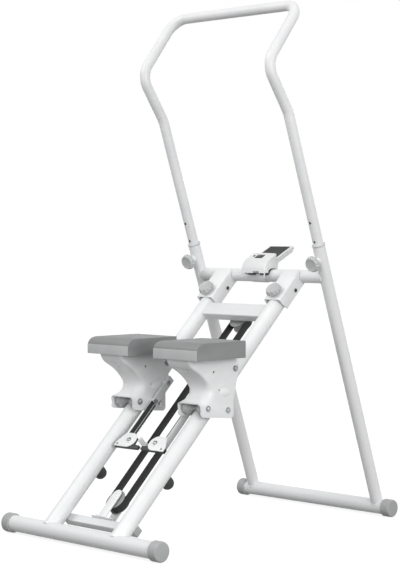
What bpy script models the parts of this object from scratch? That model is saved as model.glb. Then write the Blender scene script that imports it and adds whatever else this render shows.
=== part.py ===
"""Folding stepper: two pedals on inclined rails, joined by a belt, under a folding front frame."""

import math

import bmesh
import bpy
from mathutils import Matrix, Vector

# Clearances, in metres
FIT_GAP = 0.0003
SLIDE_GAP = 0.0003
BORE_GAP = 0.0005

# How far a cutter passes the piece that it cuts, as a factor
CUT_REACH = 1.5

# Facets round a tube, a bent tube, a turned piece, a hole and a bolt
TUBE_SEGMENTS = 20
PULLEY_SEGMENTS = 16
BENT_SEGMENTS = 12
SMALL_SEGMENTS = 12
HOLE_SEGMENTS = 10
BOLT_SEGMENTS = 8

# Turn of one facet along a tube's bend, and the facets along a sheet's fold and along rounded outlines
BEND_FACET = math.radians(26)
FOLD_STEPS = 3
RAIL_END_STEPS = 6
BELT_STEPS = 12
TIP_STEPS = 6
LOBE_STEPS = 10
EAR_STEPS = 3

# Base tubes and their end caps
BASE_SPACING = 1.000
REAR_HALF_WIDTH = 0.332
FRONT_HALF_WIDTH = 0.3255
REAR_TUBE_R = 0.024
FRONT_TUBE_R = 0.0225
BASE_WALL = 0.002
CAP_WALL = 0.005
CAP_LENGTH = 0.031
CAP_FLOOR = 0.006
CAP_ROUND = 0.005
CAP_SEGMENTS = 20

# Inclined rails, measured along the rail (from the rear base axis) and above its axis
RAIL_ANGLE = math.radians(44.16)
RAIL_X = 0.1438
RAIL_R = 0.025
RAIL_WALL = 0.002
RAIL_START = 0.006

# Front legs, measured along the leg from the front base axis
LEG_LEAN = math.radians(19.26)
LEG_R = 0.019
LEG_WALL = 0.0019
LEG_START = 0.004
LEG_LENGTH = 0.868
LEG_TO_CAP = 0.0099
CROSSBAR_R = 0.020
CROSSBAR_WALL = 0.002
CROSSBAR_TUCK = 0.008

# Fold pivot and the channels that wrap the rail tops
PIVOT_BACK = 0.056
PIVOT_DROP = 0.004
PIVOT_BOLT_R = 0.004
PIVOT_HEAD_R = 0.006
PIVOT_HEAD = 0.003
CHANNEL_WALL = 0.003
CHANNEL_SIDE_GAP = 0.005
CHANNEL_TOP_GAP = 0.001
CHANNEL_SKIRT = 0.052
CHANNEL_BEND = 0.010
CHANNEL_LENGTH = 0.127

# Pull knobs
PIN_R = 0.004
FOLD_KNOB_BACK = 0.100
FOLD_BOSS_HEIGHT = 0.004
HEIGHT_PIN_BELOW_MOUTH = 0.042
HEIGHT_BOSS_HEIGHT = 0.015
BOSS_R = 0.0095
KNOB_R = 0.025
KNOB_NECK_R = 0.0135
KNOB_FACE_R = 0.0215
KNOB_HEIGHT = 0.019
KNOB_SHOULDER = 0.005
KNOB_EDGE = 0.0015
KNOB_FLUTE = 0.0012
KNOB_LOBES = 10
KNOB_FLUTED_RINGS = (4, 5, 6)

# Handlebar
HANDLE_R = 0.016
HANDLE_WALL = 0.0016
HANDLE_INSERT = 0.200
LOWER_BEND_ALONG = 1.2845
GRIP_LENGTH = 0.1666
GRIP_LEAN = math.radians(34.26)
TOP_LENGTH = 0.2347
TOP_LEAN = math.radians(37.97)
LOWER_BEND_R = 0.110
ELBOW_R = 0.060
TOP_CORNER_R = 0.055
HOLE_PITCH = 0.060
HOLE_COUNT = 3
HOLE_R = 0.0045
COLLAR_R = 0.0205
COLLAR_HEIGHT = 0.007
COLLAR_SLEEVE = 0.022
COLLAR_EDGE = 0.0015

# Upper crossbeam between the rails
BEAM_ALONG = 0.880
BEAM_WIDTH = 0.050
BEAM_DEPTH = 0.028
BEAM_WALL = 0.002
BEAM_CORNER = 0.004
BEAM_ABOVE = 0.001

# Lower crossmember under the rails
MEMBER_ALONG = 0.072
MEMBER_SIZE = 0.026
MEMBER_HALF = 0.149
MEMBER_WALL = 0.002
MEMBER_CORNER = 0.003
PLUG_THICKNESS = 0.003

# Drive belt and its two pulleys
BELT_HALF_SPACING = 0.0304
BELT_THICKNESS = 0.003
BELT_WIDTH = 0.024
BELT_BELOW = 0.039
UPPER_PULLEY_ALONG = 0.875
LOWER_PULLEY_ALONG = 0.155
PULLEY_FLANGE = 0.0015
PULLEY_FLANGE_RISE = 0.0024
PULLEY_AXLE_R = 0.004
STRAP_HALF = 0.0165
STRAP_WALL = 0.003
STRAP_GAP = 0.004
LOWER_STRAP_TIP = 0.186
FORK_BASE_HALF = 0.045
NUT_R = 0.0075
NUT_HEIGHT = 0.004

# Rubber rests for the folded front base
REST_R = 0.019
REST_TIP_BELOW = 0.052
REST_DOME = 0.016
REST_ROOT = 0.015
REST_LATITUDES = (0, 30, 55, 75)

# Carriages
CARRIAGE_ALONG = 0.530
CARRIAGE_HALF = 0.0475
PLATE_WALL = 0.003
PLATE_FOLD_R = 0.012
ROLLER_OFFSET = 0.032
ROLLER_R = 0.022
ROLLER_HALF = 0.038
ROLLER_STEPS = 2
ROLLER_STATIONS = (("rear", -0.058, 1), ("front", 0.100, 1), ("under", -0.006, -1))
AXLE_R = 0.004
AXLE_HEAD_R = 0.0075
AXLE_HEAD = 0.004

# Outline of the carriage's side plates: distances behind, ahead of, above and below its centre on the rail
LIP_BACK = 0.139
LIP_UP = 0.110
SWEEP_BACK = 0.080
SWEEP_UP = 0.078
WAIST_BACK = 0.062
WAIST_UP = 0.036
HOLLOW_UP = 0.012
HEEL_BACK = 0.096
HEEL_DOWN = 0.002
WINDOW_DOWN = 0.030
SOLE_BACK = 0.088
SOLE_DOWN = 0.041
TOE_AHEAD = 0.034
TOE_DOWN = 0.052
TOE_CORNER = 0.007
SHIN_AHEAD = 0.042
SHIN_UP = 0.002
KNEE_AHEAD = 0.061
KNEE_UP = 0.084
BROW_AHEAD = 0.053

# V-shaped ears of the pedal support, which lie on the side plates
EAR_RISE = 0.002
EAR_BACK = 0.136
EAR_TIP_BACK = 0.031
EAR_TIP_UP = 0.029
EAR_REAR_BOW_BACK = 0.085
EAR_REAR_BOW_UP = 0.087
EAR_FRONT_BOW_AHEAD = 0.026
EAR_FRONT_BOW_UP = 0.048
EAR_FRONT = 0.0365
EAR_FRONT_UP = 0.100
SIDE_HOLE_BACK = 0.040
SIDE_HOLE_UP = 0.087
SIDE_HOLE_R = 0.0035

# Pedals, measured from the carriage's centre on the rail
PEDAL_WIDTH = 0.180
PEDAL_REAR = -0.152
PEDAL_LENGTH = 0.203
PEDAL_BASE = 0.1264
PEDAL_HEIGHT = 0.046
PEDAL_TOE_DROP = 0.018
PEDAL_TOE_RUN = 0.021
PEDAL_BROW_DROP = 0.0027
PEDAL_BROW_RUN = 0.0095
PEDAL_EDGE = 0.004
PEDAL_RIM = 0.009
PEDAL_TREAD_DEPTH = 0.003
PEDAL_GROOVE_COUNT = 8
PEDAL_GROOVE_SHARE = 0.4
PEDAL_POCKET_DEPTH = 0.036
PEDAL_POCKET_WALL = 0.005
PEDAL_POCKET_COUNT = 3

# Belt arms, from the carriage's centre down and up the rail, and the clamps on their lower ends
ARM_X = 0.080
ARM_THICKNESS = 0.006
ARM_DEPTH = 0.024
ARM_BELOW = 0.0135
ARM_REACH_DOWN = 0.200
ARM_REACH_UP = 0.070
ARM_SPACER_R = 0.009
ARM_BOLT_OFFSETS = (-0.025, 0.050)
ARM_BOLT_R = 0.003
CLAMP_FROM_END = 0.012
CLAMP_LOBE_X = 0.056
CLAMP_LOBE_R = 0.026
CLAMP_RING_R = 0.0105
CLAMP_RING_RISE = 0.0015
CLAMP_WING_X = 0.105
CLAMP_PLATE = 0.003
JAW_SLAB = 0.0125
JAW_HALF_LENGTH = 0.015
JAW_OUTER = 0.0100
JAW_INNER = 0.0068
JAW_ROOF = 0.009
JAW_SHOULDER = 0.0234
JAW_OVERLAP = 0.002

# Counter on the crossbar: distances behind, ahead of and above the crossbar's centre
DISPLAY_HALF = 0.050
DISPLAY_TILT = math.radians(27.5)
DISPLAY_EDGE = 0.0025
HOOD_BACK = 0.0405
HOOD_SILL = 0.010
HOOD_BROW_BACK = 0.036
HOOD_BROW_UP = 0.043
HOOD_FACE_BACK = 0.013
HOOD_FACE_UP = 0.0535
HOOD_FACE_LENGTH = 0.025
HOOD_CROWN = 0.004
CROWN_STATIONS = (-1, -0.6, 0, 0.6, 1)
TRAY_TILT = math.radians(26.4)
TRAY_AHEAD = 0.0184
TRAY_UP = 0.0539
TRAY_LENGTH = 0.0835
TRAY_THICKNESS = 0.0163
TRAY_NOSE = 0.011
TRAY_NOSE_OUT = 0.0055
SADDLE_AHEAD = 0.0195
SADDLE_UP = 0.008
STRAP_BAND = 0.002
STRAP_HALF_WIDTH = 0.030
PAD_HALF = 0.041
PAD_START = 0.004
PAD_LENGTH = 0.076
PAD_SUNK = 0.0015
PAD_PROUD = 0.0018
PAD_GROOVE = 0.0012
PAD_RIB_COUNT = 10
PAD_RIB_SHARE = 0.6
SCREEN_HALF = 0.01425
SCREEN_X = -0.00475
SCREEN_DEPTH = 0.021
SCREEN_SUNK = 0.0012
SCREEN_THICKNESS = 0.0012
BUTTON_R = 0.004
BUTTON_X = -0.0275
BUTTON_SKIRT = 0.0014
BUTTON_PROUD = 0.0016
BUTTON_EDGE = 0.0008
BUTTON_DOME = 0.0002
BUTTON_TRAVEL = 0.001

# Derived places
LEG_X = FRONT_HALF_WIDTH - CAP_LENGTH - LEG_TO_CAP - LEG_R
HEIGHT_PIN_ALONG = LEG_LENGTH - HEIGHT_PIN_BELOW_MOUTH
ARM_START = CARRIAGE_ALONG - ARM_REACH_DOWN
ARM_END = CARRIAGE_ALONG + ARM_REACH_UP
CLAMP_ALONG = ARM_START + CLAMP_FROM_END
REAR_CAP_R = REAR_TUBE_R + CAP_WALL
FRONT_CAP_R = FRONT_TUBE_R + CAP_WALL
FLAT_RATIO = math.cos(math.pi / CAP_SEGMENTS)
REAR_Z = REAR_CAP_R * FLAT_RATIO
FRONT_Z = FRONT_CAP_R * FLAT_RATIO
REAR_Y = -(BASE_SPACING + (FRONT_CAP_R - REAR_CAP_R) * FLAT_RATIO) / 2
FRONT_Y = REAR_Y + BASE_SPACING

ALONG_RAIL = Vector((0, math.cos(RAIL_ANGLE), math.sin(RAIL_ANGLE)))
ABOVE_RAIL = Vector((0, -math.sin(RAIL_ANGLE), math.cos(RAIL_ANGLE)))
ALONG_LEG = Vector((0, -math.sin(LEG_LEAN), math.cos(LEG_LEAN)))
BEHIND_LEG = Vector((0, -math.cos(LEG_LEAN), -math.sin(LEG_LEAN)))
ACROSS = Vector((1, 0, 0))
REAR_AXIS = Vector((0, REAR_Y, REAR_Z))
FRONT_AXIS = Vector((0, FRONT_Y, FRONT_Z))


def rail_point(x, along, above=0.0):
    return REAR_AXIS + ACROSS * x + ALONG_RAIL * along + ABOVE_RAIL * above


def leg_point(x, along, behind=0.0):
    return FRONT_AXIS + ACROSS * x + ALONG_LEG * along + BEHIND_LEG * behind


def crossing():
    """Distance along the rail and along the leg at which their axes cross."""
    gap = FRONT_AXIS - REAR_AXIS
    turn = ALONG_RAIL.y * -ALONG_LEG.z + ALONG_LEG.y * ALONG_RAIL.z
    along_rail = (gap.y * -ALONG_LEG.z + ALONG_LEG.y * gap.z) / turn
    along_leg = (ALONG_RAIL.y * gap.z - ALONG_RAIL.z * gap.y) / turn
    return along_rail, along_leg


CROSSBAR_ALONG_RAIL, CROSSBAR_ALONG_LEG = crossing()
PIVOT_ALONG = CROSSBAR_ALONG_RAIL - PIVOT_BACK
RAIL_END_R = RAIL_R + PIVOT_DROP - FIT_GAP
FOLD_REST_BELOW = REST_TIP_BELOW + FRONT_TUBE_R + FIT_GAP
PIVOT = rail_point(0, PIVOT_ALONG, -PIVOT_DROP)
FOLD_ARM = (FRONT_AXIS - PIVOT).length
REST_ALONG = PIVOT_ALONG - math.sqrt(FOLD_ARM**2 - (FOLD_REST_BELOW - PIVOT_DROP) ** 2)
CHANNEL_TOP = RAIL_R + CHANNEL_TOP_GAP + CHANNEL_WALL
CHANNEL_HALF = RAIL_R + CHANNEL_SIDE_GAP + CHANNEL_WALL
CLAMP_BASE = ARM_DEPTH - ARM_BELOW + FIT_GAP
BELT_HALF = BELT_THICKNESS / 2


def clear_scene():
    for item in list(bpy.data.objects):
        bpy.data.objects.remove(item, do_unlink=True)


def material(name, colour, roughness, metallic=0.0):
    """Principled material; the colour is a linear red, green, blue triple."""
    made = bpy.data.materials.new(name)
    made.use_nodes = True
    shader = made.node_tree.nodes["Principled BSDF"]
    shader.inputs["Base Color"].default_value = (*colour, 1.0)
    shader.inputs["Roughness"].default_value = roughness
    shader.inputs["Metallic"].default_value = metallic
    made.diffuse_color = (*colour, 1.0)
    return made


FINISHES = {
    "white": ((0.80, 0.81, 0.82), 0.35, 0.0),
    "grey": ((0.22, 0.23, 0.23), 0.5, 0.0),
    "pedal": ((0.20, 0.20, 0.21), 0.55, 0.0),
    "black": ((0.010, 0.010, 0.011), 0.6, 0.0),
    "steel": ((0.55, 0.56, 0.57), 0.3, 1.0),
    "screen": ((0.012, 0.014, 0.016), 0.15, 0.0),
    "bush": ((0.45, 0.46, 0.47), 0.4, 0.0),
}


def frame(origin, x_axis, y_axis, z_axis):
    """Placement whose local axes are the given world directions."""
    turn = Matrix((x_axis, y_axis, z_axis)).transposed().to_4x4()
    return Matrix.Translation(origin) @ turn


def rail_frame(x, along, above=0.0):
    """Local x across, y along the rail, z above it."""
    return frame(rail_point(x, along, above), ACROSS, ALONG_RAIL, ABOVE_RAIL)


def cross_frame(origin):
    """Local z across the object, for pieces turned about a cross axis."""
    return frame(origin, Vector((0, 1, 0)), Vector((0, 0, 1)), ACROSS)


def flat_cross_frame(origin):
    """Like cross_frame, turned by half a facet so that a flat faces the ground."""
    half_step = Matrix.Rotation(math.pi / CAP_SEGMENTS, 4, "Z")
    return cross_frame(origin) @ half_step


def leg_frame(x, along):
    """Local z along the leg."""
    return frame(leg_point(x, along), ACROSS, -BEHIND_LEG, ALONG_LEG)


def joint_empty(name, place):
    empty = bpy.data.objects.new(name, None)
    empty.empty_display_size = 0.03
    empty.location = place
    bpy.context.scene.collection.objects.link(empty)
    return empty


def add_object(name, shape, finish, place=Matrix.Identity(4), parent=None, smooth=35.0):
    """Turns a bmesh into an object with its own material, at a world placement."""
    bmesh.ops.recalc_face_normals(shape, faces=shape.faces)
    mesh = bpy.data.meshes.new(name)
    shape.to_mesh(mesh)
    shape.free()
    mesh.shade_smooth()
    mesh.set_sharp_from_angle(angle=math.radians(smooth))
    if finish:
        mesh.materials.append(material(name, *FINISHES[finish]))
    made = bpy.data.objects.new(name, mesh)
    bpy.context.scene.collection.objects.link(made)
    if parent:
        made.parent = parent
        made.matrix_parent_inverse = Matrix.Translation(parent.location).inverted()
    made.matrix_basis = place
    return made


def boolean(target, name, shape, place, operation="DIFFERENCE"):
    """Cuts or joins a hidden helper shape on the target."""
    helper = add_object(f"{target.name}_{name}", shape, None, place, target.parent)
    helper.hide_render = True
    helper.display_type = "WIRE"
    modifier = target.modifiers.new(name, "BOOLEAN")
    modifier.operation = operation
    modifier.solver = "EXACT"
    modifier.object = helper


def bevel(target, width, segments=2, angle=40.0):
    modifier = target.modifiers.new("edges", "BEVEL")
    modifier.width = width
    modifier.segments = segments
    modifier.limit_method = "ANGLE"
    modifier.angle_limit = math.radians(angle)


def facets(target):
    """Splits every face into triangles, so that cuts meet only flat faces."""
    target.modifiers.new("facets", "TRIANGULATE")


def turned(profile, segments=SMALL_SEGMENTS, flute=0.0, fluted=()):
    """Revolves (radius, height) points about local z; a radius of 0 makes a pole.

    Every second point of the rings listed in fluted is drawn in by the flute's depth.
    """
    shape = bmesh.new()
    rings = []
    for index, (radius, height) in enumerate(profile):
        if radius == 0:
            rings.append([shape.verts.new((0, 0, height))])
            continue
        ring = []
        for step in range(segments):
            angle = math.tau * step / segments
            size = radius - flute if index in fluted and step % 2 else radius
            ring.append(shape.verts.new((size * math.cos(angle), size * math.sin(angle), height)))
        rings.append(ring)
    closed = len(rings[0]) > 1
    pairs = list(zip(rings, rings[1:] + rings[:1] if closed else rings[1:]))
    for lower, upper in pairs:
        for step in range(segments):
            corner = [lower[step % len(lower)], lower[(step + 1) % len(lower)]]
            corner += [upper[(step + 1) % len(upper)], upper[step % len(upper)]]
            shape.faces.new(list(dict.fromkeys(corner)))
    return shape


def tube(radius, wall, low, high, segments=TUBE_SEGMENTS):
    """Open-ended tube along local z."""
    inner = radius - wall
    return turned([(radius, low), (radius, high), (inner, high), (inner, low)], segments)


def rod(radius, low, high, segments=HOLE_SEGMENTS):
    return turned([(0, low), (radius, low), (radius, high), (0, high)], segments)


def clearance_rod(radius, half, segments=TUBE_SEGMENTS):
    """Cutter whose flats, not its corners, lie a fit gap outside the given radius."""
    return rod((radius + FIT_GAP) / math.cos(math.pi / segments), -half, half, segments)


def prism(outline, low, high):
    """Extrudes a closed outline of (x, y) points along local z."""
    shape = bmesh.new()
    bottom = [shape.verts.new((x, y, low)) for x, y in outline]
    top = [shape.verts.new((x, y, high)) for x, y in outline]
    shape.faces.new(bottom)
    shape.faces.new(top)
    for step in range(len(outline)):
        after = (step + 1) % len(outline)
        shape.faces.new((bottom[step], bottom[after], top[after], top[step]))
    return shape


def box(low, high):
    corners = [(low[0], low[1]), (high[0], low[1]), (high[0], high[1]), (low[0], high[1])]
    return prism(corners, low[2], high[2])


def curve(start, control, end, steps):
    """Points on a parabola from start to end, whose end tangents meet at control."""
    points = []
    for step in range(steps + 1):
        share = step / steps
        weights = ((1 - share) ** 2, 2 * share * (1 - share), share**2)
        points.append(tuple(sum(w * p[k] for w, p in zip(weights, (start, control, end))) for k in (0, 1)))
    return points


def arc(centre, radius, start, end, steps):
    """Points on an arc, with angles in degrees."""
    points = []
    for step in range(steps + 1):
        angle = math.radians(start + (end - start) * step / steps)
        points.append((centre[0] + radius * math.cos(angle), centre[1] + radius * math.sin(angle)))
    return points


def hollow_prism(outer, inner, low, high):
    """A closed band between two outlines with the same number of points."""
    shape = bmesh.new()
    loops = []
    for outline, level in ((outer, low), (outer, high), (inner, high), (inner, low)):
        loops.append([shape.verts.new((x, y, level)) for x, y in outline])
    for first, second in zip(loops, loops[1:] + loops[:1]):
        for step in range(len(outer)):
            after = (step + 1) % len(outer)
            shape.faces.new((first[step], first[after], second[after], second[step]))
    return shape


def stepped_prism(levels):
    """A closed body through outlines of equal point count, each at its own height."""
    shape = bmesh.new()
    loops = [[shape.verts.new((x, y, level)) for x, y in outline] for outline, level in levels]
    shape.faces.new(loops[0])
    shape.faces.new(loops[-1])
    for first, second in zip(loops, loops[1:]):
        for step in range(len(first)):
            after = (step + 1) % len(first)
            shape.faces.new((first[step], first[after], second[after], second[step]))
    return shape


def rectangle(half_x, half_y, corner=0.0, steps=2):
    if corner == 0:
        return [(half_x, half_y), (-half_x, half_y), (-half_x, -half_y), (half_x, -half_y)]
    points = []
    for turn, (side_x, side_y) in enumerate(((1, 1), (-1, 1), (-1, -1), (1, -1))):
        centre = (side_x * (half_x - corner), side_y * (half_y - corner))
        points += arc(centre, corner, 90 * turn, 90 * turn + 90, steps)
    return points


def rectangular_tube(half_x, half_y, wall, low, high, corner):
    outer = rectangle(half_x, half_y, corner)
    inner = rectangle(half_x - wall, half_y - wall, corner - wall)
    return hollow_prism(outer, inner, low, high)


def rounded_path(corners, radii):
    """Replaces each inner corner of a path by an arc of the given radius."""
    path = [corners[0]]
    for before, corner, after, radius in zip(corners, corners[1:], corners[2:], radii):
        incoming = (corner - before).normalized()
        outgoing = (after - corner).normalized()
        bend = incoming.angle(outgoing)
        steps = max(2, round(bend / BEND_FACET))
        reach = radius * math.tan(bend / 2)
        start = corner - incoming * reach
        inward = (outgoing - incoming * incoming.dot(outgoing)).normalized()
        centre = start + inward * radius
        for step in range(steps + 1):
            angle = bend * step / steps
            path.append(centre - inward * radius * math.cos(angle) + incoming * radius * math.sin(angle))
    path.append(corners[-1])
    return path


def swept_tube(path, radius, wall, segments=BENT_SEGMENTS):
    """Bent tube along a path, with the section carried without twist."""
    shape = bmesh.new()
    tangents = []
    for index, point in enumerate(path):
        before = path[max(index - 1, 0)]
        after = path[min(index + 1, len(path) - 1)]
        tangents.append((after - before).normalized())
    side = tangents[0].orthogonal().normalized()
    rings = []
    for point, tangent in zip(path, tangents):
        side = (side - tangent * side.dot(tangent)).normalized()
        other = tangent.cross(side)
        rings.append((point, side.copy(), other))
    loops = []
    for size, order in ((radius, rings), (radius - wall, rings[::-1])):
        for point, side, other in order:
            loop = []
            for step in range(segments):
                angle = math.tau * step / segments
                offset = side * math.cos(angle) + other * math.sin(angle)
                loop.append(shape.verts.new(point + offset * size))
            loops.append(loop)
    for first, second in zip(loops, loops[1:] + loops[:1]):
        for step in range(segments):
            after = (step + 1) % segments
            shape.faces.new((first[step], first[after], second[after], second[step]))
    return shape


def end_cap(name, tube_r, half_width, side, axis, parent=None):
    """Grey cup over a base tube's end, with a flat facet on the ground."""
    bore = tube_r + FIT_GAP
    outer = tube_r + CAP_WALL
    length = CAP_LENGTH
    corner = CAP_ROUND * (1 - math.sqrt(0.5))
    profile = [(0, length), (outer - CAP_ROUND, length), (outer - corner, length - corner)]
    profile += [(outer, length - CAP_ROUND), (outer, 0), (bore, 0)]
    profile += [(bore, length - CAP_FLOOR), (0, length - CAP_FLOOR)]
    shape = turned(profile, CAP_SEGMENTS)
    shape.transform(Matrix.Diagonal((1, 1, side, 1)))
    place = flat_cross_frame(axis + ACROSS * side * (half_width - length))
    add_object(name, shape, "grey", place, parent)


def base_tube(name, radius, half_width, axis, parent=None):
    half = half_width - CAP_FLOOR - FIT_GAP
    return add_object(name, tube(radius, BASE_WALL, -half, half), "white", flat_cross_frame(axis), parent)


def side_name(side):
    return "right" if side > 0 else "left"


def rail(side):
    """Round rail, saddled on the rear base, with a rounded top end inside the fold channel."""
    x = side * RAIL_X
    name = f"rail_{side_name(side)}"
    end = PIVOT_ALONG + RAIL_END_R + FIT_GAP
    place = frame(rail_point(x, 0), ACROSS, -ABOVE_RAIL, ALONG_RAIL)
    made = add_object(name, tube(RAIL_R, RAIL_WALL, RAIL_START, end), "white", place)
    reach = RAIL_R * CUT_REACH
    boolean(made, "saddle", clearance_rod(REAR_TUBE_R, reach), cross_frame(rail_point(x, 0)))
    outline = arc((0, 0), RAIL_END_R, 90, -90, RAIL_END_STEPS)
    far = RAIL_END_R * CUT_REACH
    outline += [(0, -far), (far, -far), (far, far), (0, far)]
    turn = frame(rail_point(x, PIVOT_ALONG, -PIVOT_DROP), ALONG_RAIL, ABOVE_RAIL, ACROSS)
    boolean(made, "end", prism(outline, -reach, reach), turn)
    hole = rod(PIVOT_BOLT_R + BORE_GAP, -reach, reach)
    boolean(made, "pivot_hole", hole, cross_frame(rail_point(x, PIVOT_ALONG, -PIVOT_DROP)))
    lock = rail_frame(x, CROSSBAR_ALONG_RAIL - FOLD_KNOB_BACK)
    boolean(made, "lock_hole", rod(PIN_R + BORE_GAP, 0, reach), lock)


def fold_channel(side, parent):
    """Inverted U of sheet welded to the crossbar, which wraps the rail's top end."""
    x = side * RAIL_X
    name = f"fold_channel_{side_name(side)}"
    half = CHANNEL_HALF
    inner = half - CHANNEL_WALL
    top = CHANNEL_TOP
    low = top - CHANNEL_SKIRT - CHANNEL_WALL
    bend = CHANNEL_BEND
    small = bend - CHANNEL_WALL
    outline = [(half, low)] + arc((half - bend, top - bend), bend, 0, 90, FOLD_STEPS)
    outline += arc((-half + bend, top - bend), bend, 90, 180, FOLD_STEPS)
    outline += [(-half, low), (-inner, low)]
    outline += arc((-half + bend, top - bend), small, 180, 90, FOLD_STEPS)
    outline += arc((half - bend, top - bend), small, 90, 0, FOLD_STEPS) + [(inner, low)]
    start = CROSSBAR_ALONG_RAIL - CHANNEL_LENGTH
    place = frame(rail_point(x, start), ACROSS, ABOVE_RAIL, -ALONG_RAIL)
    made = add_object(name, prism(outline, -CHANNEL_LENGTH, 0), "white", place, parent)
    reach = half * CUT_REACH
    seat = clearance_rod(CROSSBAR_R, reach)
    boolean(made, "seat", seat, cross_frame(rail_point(x, CROSSBAR_ALONG_RAIL)))
    hole = rod(PIVOT_BOLT_R + BORE_GAP, -reach, reach)
    boolean(made, "pivot_hole", hole, cross_frame(rail_point(x, PIVOT_ALONG, -PIVOT_DROP)))
    lock = rail_frame(x, CROSSBAR_ALONG_RAIL - FOLD_KNOB_BACK)
    boss = rod(BOSS_R, top - CHANNEL_WALL / 2, top + FOLD_BOSS_HEIGHT)
    boolean(made, "lock_boss", boss, lock, "UNION")
    boolean(made, "lock_hole", rod(PIN_R + BORE_GAP, 0, top * CUT_REACH), lock)


def fold_pivot_bolt(side):
    """Bolt through the channel and the rail top, on which the front frame turns."""
    reach = CHANNEL_HALF + FIT_GAP
    shape = bolt(PIVOT_BOLT_R, PIVOT_HEAD_R, -reach, reach, PIVOT_HEAD, HOLE_SEGMENTS)
    place = cross_frame(PIVOT + ACROSS * side * RAIL_X)
    add_object(f"fold_pivot_bolt_{side_name(side)}", shape, "steel", place)


def add_moved(group, shape, place):
    """Adds a copy of one bmesh, moved, to a group of separate solids."""
    shape.transform(place)
    copy = bpy.data.meshes.new("piece")
    shape.to_mesh(copy)
    shape.free()
    group.from_mesh(copy)
    bpy.data.meshes.remove(copy)


def leg(side, parent):
    x = side * LEG_X
    shape = tube(LEG_R, LEG_WALL, LEG_START, LEG_LENGTH)
    made = add_object(f"leg_{side_name(side)}", shape, "white", leg_frame(x, 0), parent)
    reach = LEG_R * CUT_REACH
    boolean(made, "saddle", clearance_rod(FRONT_TUBE_R, reach), cross_frame(leg_point(x, 0)))
    pin = frame(leg_point(x, HEIGHT_PIN_ALONG), ACROSS, ALONG_LEG, BEHIND_LEG)
    boss_top = LEG_R + HEIGHT_BOSS_HEIGHT
    boolean(made, "pin_boss", rod(BOSS_R, HANDLE_R + FIT_GAP, boss_top), pin, "UNION")
    boolean(made, "pin_hole", rod(PIN_R + BORE_GAP, 0, boss_top * CUT_REACH), pin)


def crossbar(parent):
    half = LEG_X - CROSSBAR_TUCK
    centre = leg_point(0, CROSSBAR_ALONG_LEG)
    shape = tube(CROSSBAR_R, CROSSBAR_WALL, -half, half)
    made = add_object("crossbar", shape, "white", cross_frame(centre), parent)
    for side in (-1, 1):
        cutter = clearance_rod(LEG_R, CROSSBAR_R * CUT_REACH)
        boolean(made, side_name(side), cutter, leg_frame(side * LEG_X, CROSSBAR_ALONG_LEG))


def pull_knob(name, place, tip, shoulder, parent):
    """Fluted knob on a pin along local z; tip and shoulder are heights on that axis."""
    face = shoulder + KNOB_HEIGHT
    profile = [(0, tip), (PIN_R, tip), (PIN_R, shoulder), (KNOB_NECK_R, shoulder)]
    profile += [(KNOB_R, shoulder + KNOB_SHOULDER), (KNOB_FACE_R, face - KNOB_EDGE)]
    profile += [(KNOB_FACE_R - KNOB_EDGE, face), (0, face)]
    shape = turned(profile, KNOB_LOBES * 2, KNOB_FLUTE, KNOB_FLUTED_RINGS)
    add_object(name, shape, "grey", place, parent)


def handlebar(parent):
    """One bent tube: two straight arms in the legs, grips leaning back, a bar across the top."""
    right = [leg_point(LEG_X, LEG_LENGTH - HANDLE_INSERT), leg_point(LEG_X, LOWER_BEND_ALONG)]
    right.append(right[1] + Vector((0, -math.sin(GRIP_LEAN), math.cos(GRIP_LEAN))) * GRIP_LENGTH)
    right.append(right[2] + Vector((0, math.sin(TOP_LEAN), math.cos(TOP_LEAN))) * TOP_LENGTH)
    left = [Vector((-point.x, point.y, point.z)) for point in reversed(right)]
    radii = [LOWER_BEND_R, ELBOW_R, TOP_CORNER_R, TOP_CORNER_R, ELBOW_R, LOWER_BEND_R]
    path = rounded_path(right + left, radii)
    made = add_object("handlebar", swept_tube(path, HANDLE_R, HANDLE_WALL), "white", parent=parent)
    for side in (-1, 1):
        for index in range(HOLE_COUNT):
            along = HEIGHT_PIN_ALONG + index * HOLE_PITCH
            place = frame(leg_point(side * LEG_X, along), ACROSS, ALONG_LEG, BEHIND_LEG)
            boolean(made, f"hole_{side_name(side)}_{index}", rod(HOLE_R, 0, HANDLE_R * CUT_REACH), place)


def collar(side, parent):
    """Plastic bush in the leg's mouth, with a thin flange on top."""
    bore = HANDLE_R + SLIDE_GAP
    sleeve = LEG_R - LEG_WALL - FIT_GAP
    flange = LEG_LENGTH + FIT_GAP
    profile = [(COLLAR_R, flange), (COLLAR_R, flange + COLLAR_HEIGHT - COLLAR_EDGE)]
    profile += [(COLLAR_R - COLLAR_EDGE, flange + COLLAR_HEIGHT), (bore, flange + COLLAR_HEIGHT)]
    profile += [(bore, LEG_LENGTH - COLLAR_SLEEVE), (sleeve, LEG_LENGTH - COLLAR_SLEEVE), (sleeve, flange)]
    name = f"collar_{side_name(side)}"
    add_object(name, turned(profile, TUBE_SEGMENTS), "bush", leg_frame(side * LEG_X, 0), parent)


def upper_crossbeam():
    place = frame(rail_point(0, BEAM_ALONG, BEAM_ABOVE), ALONG_RAIL, ABOVE_RAIL, ACROSS)
    shape = rectangular_tube(BEAM_WIDTH / 2, BEAM_DEPTH / 2, BEAM_WALL, -RAIL_X, RAIL_X, BEAM_CORNER)
    made = add_object("upper_crossbeam", shape, "white", place)
    for side in (-1, 1):
        cutter = clearance_rod(RAIL_R, BEAM_WIDTH)
        place = frame(rail_point(side * RAIL_X, BEAM_ALONG), ACROSS, -ABOVE_RAIL, ALONG_RAIL)
        boolean(made, side_name(side), cutter, place)


def member_centre(x=0.0):
    return rail_point(x, MEMBER_ALONG, -RAIL_R - FIT_GAP - MEMBER_SIZE / 2)


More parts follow.
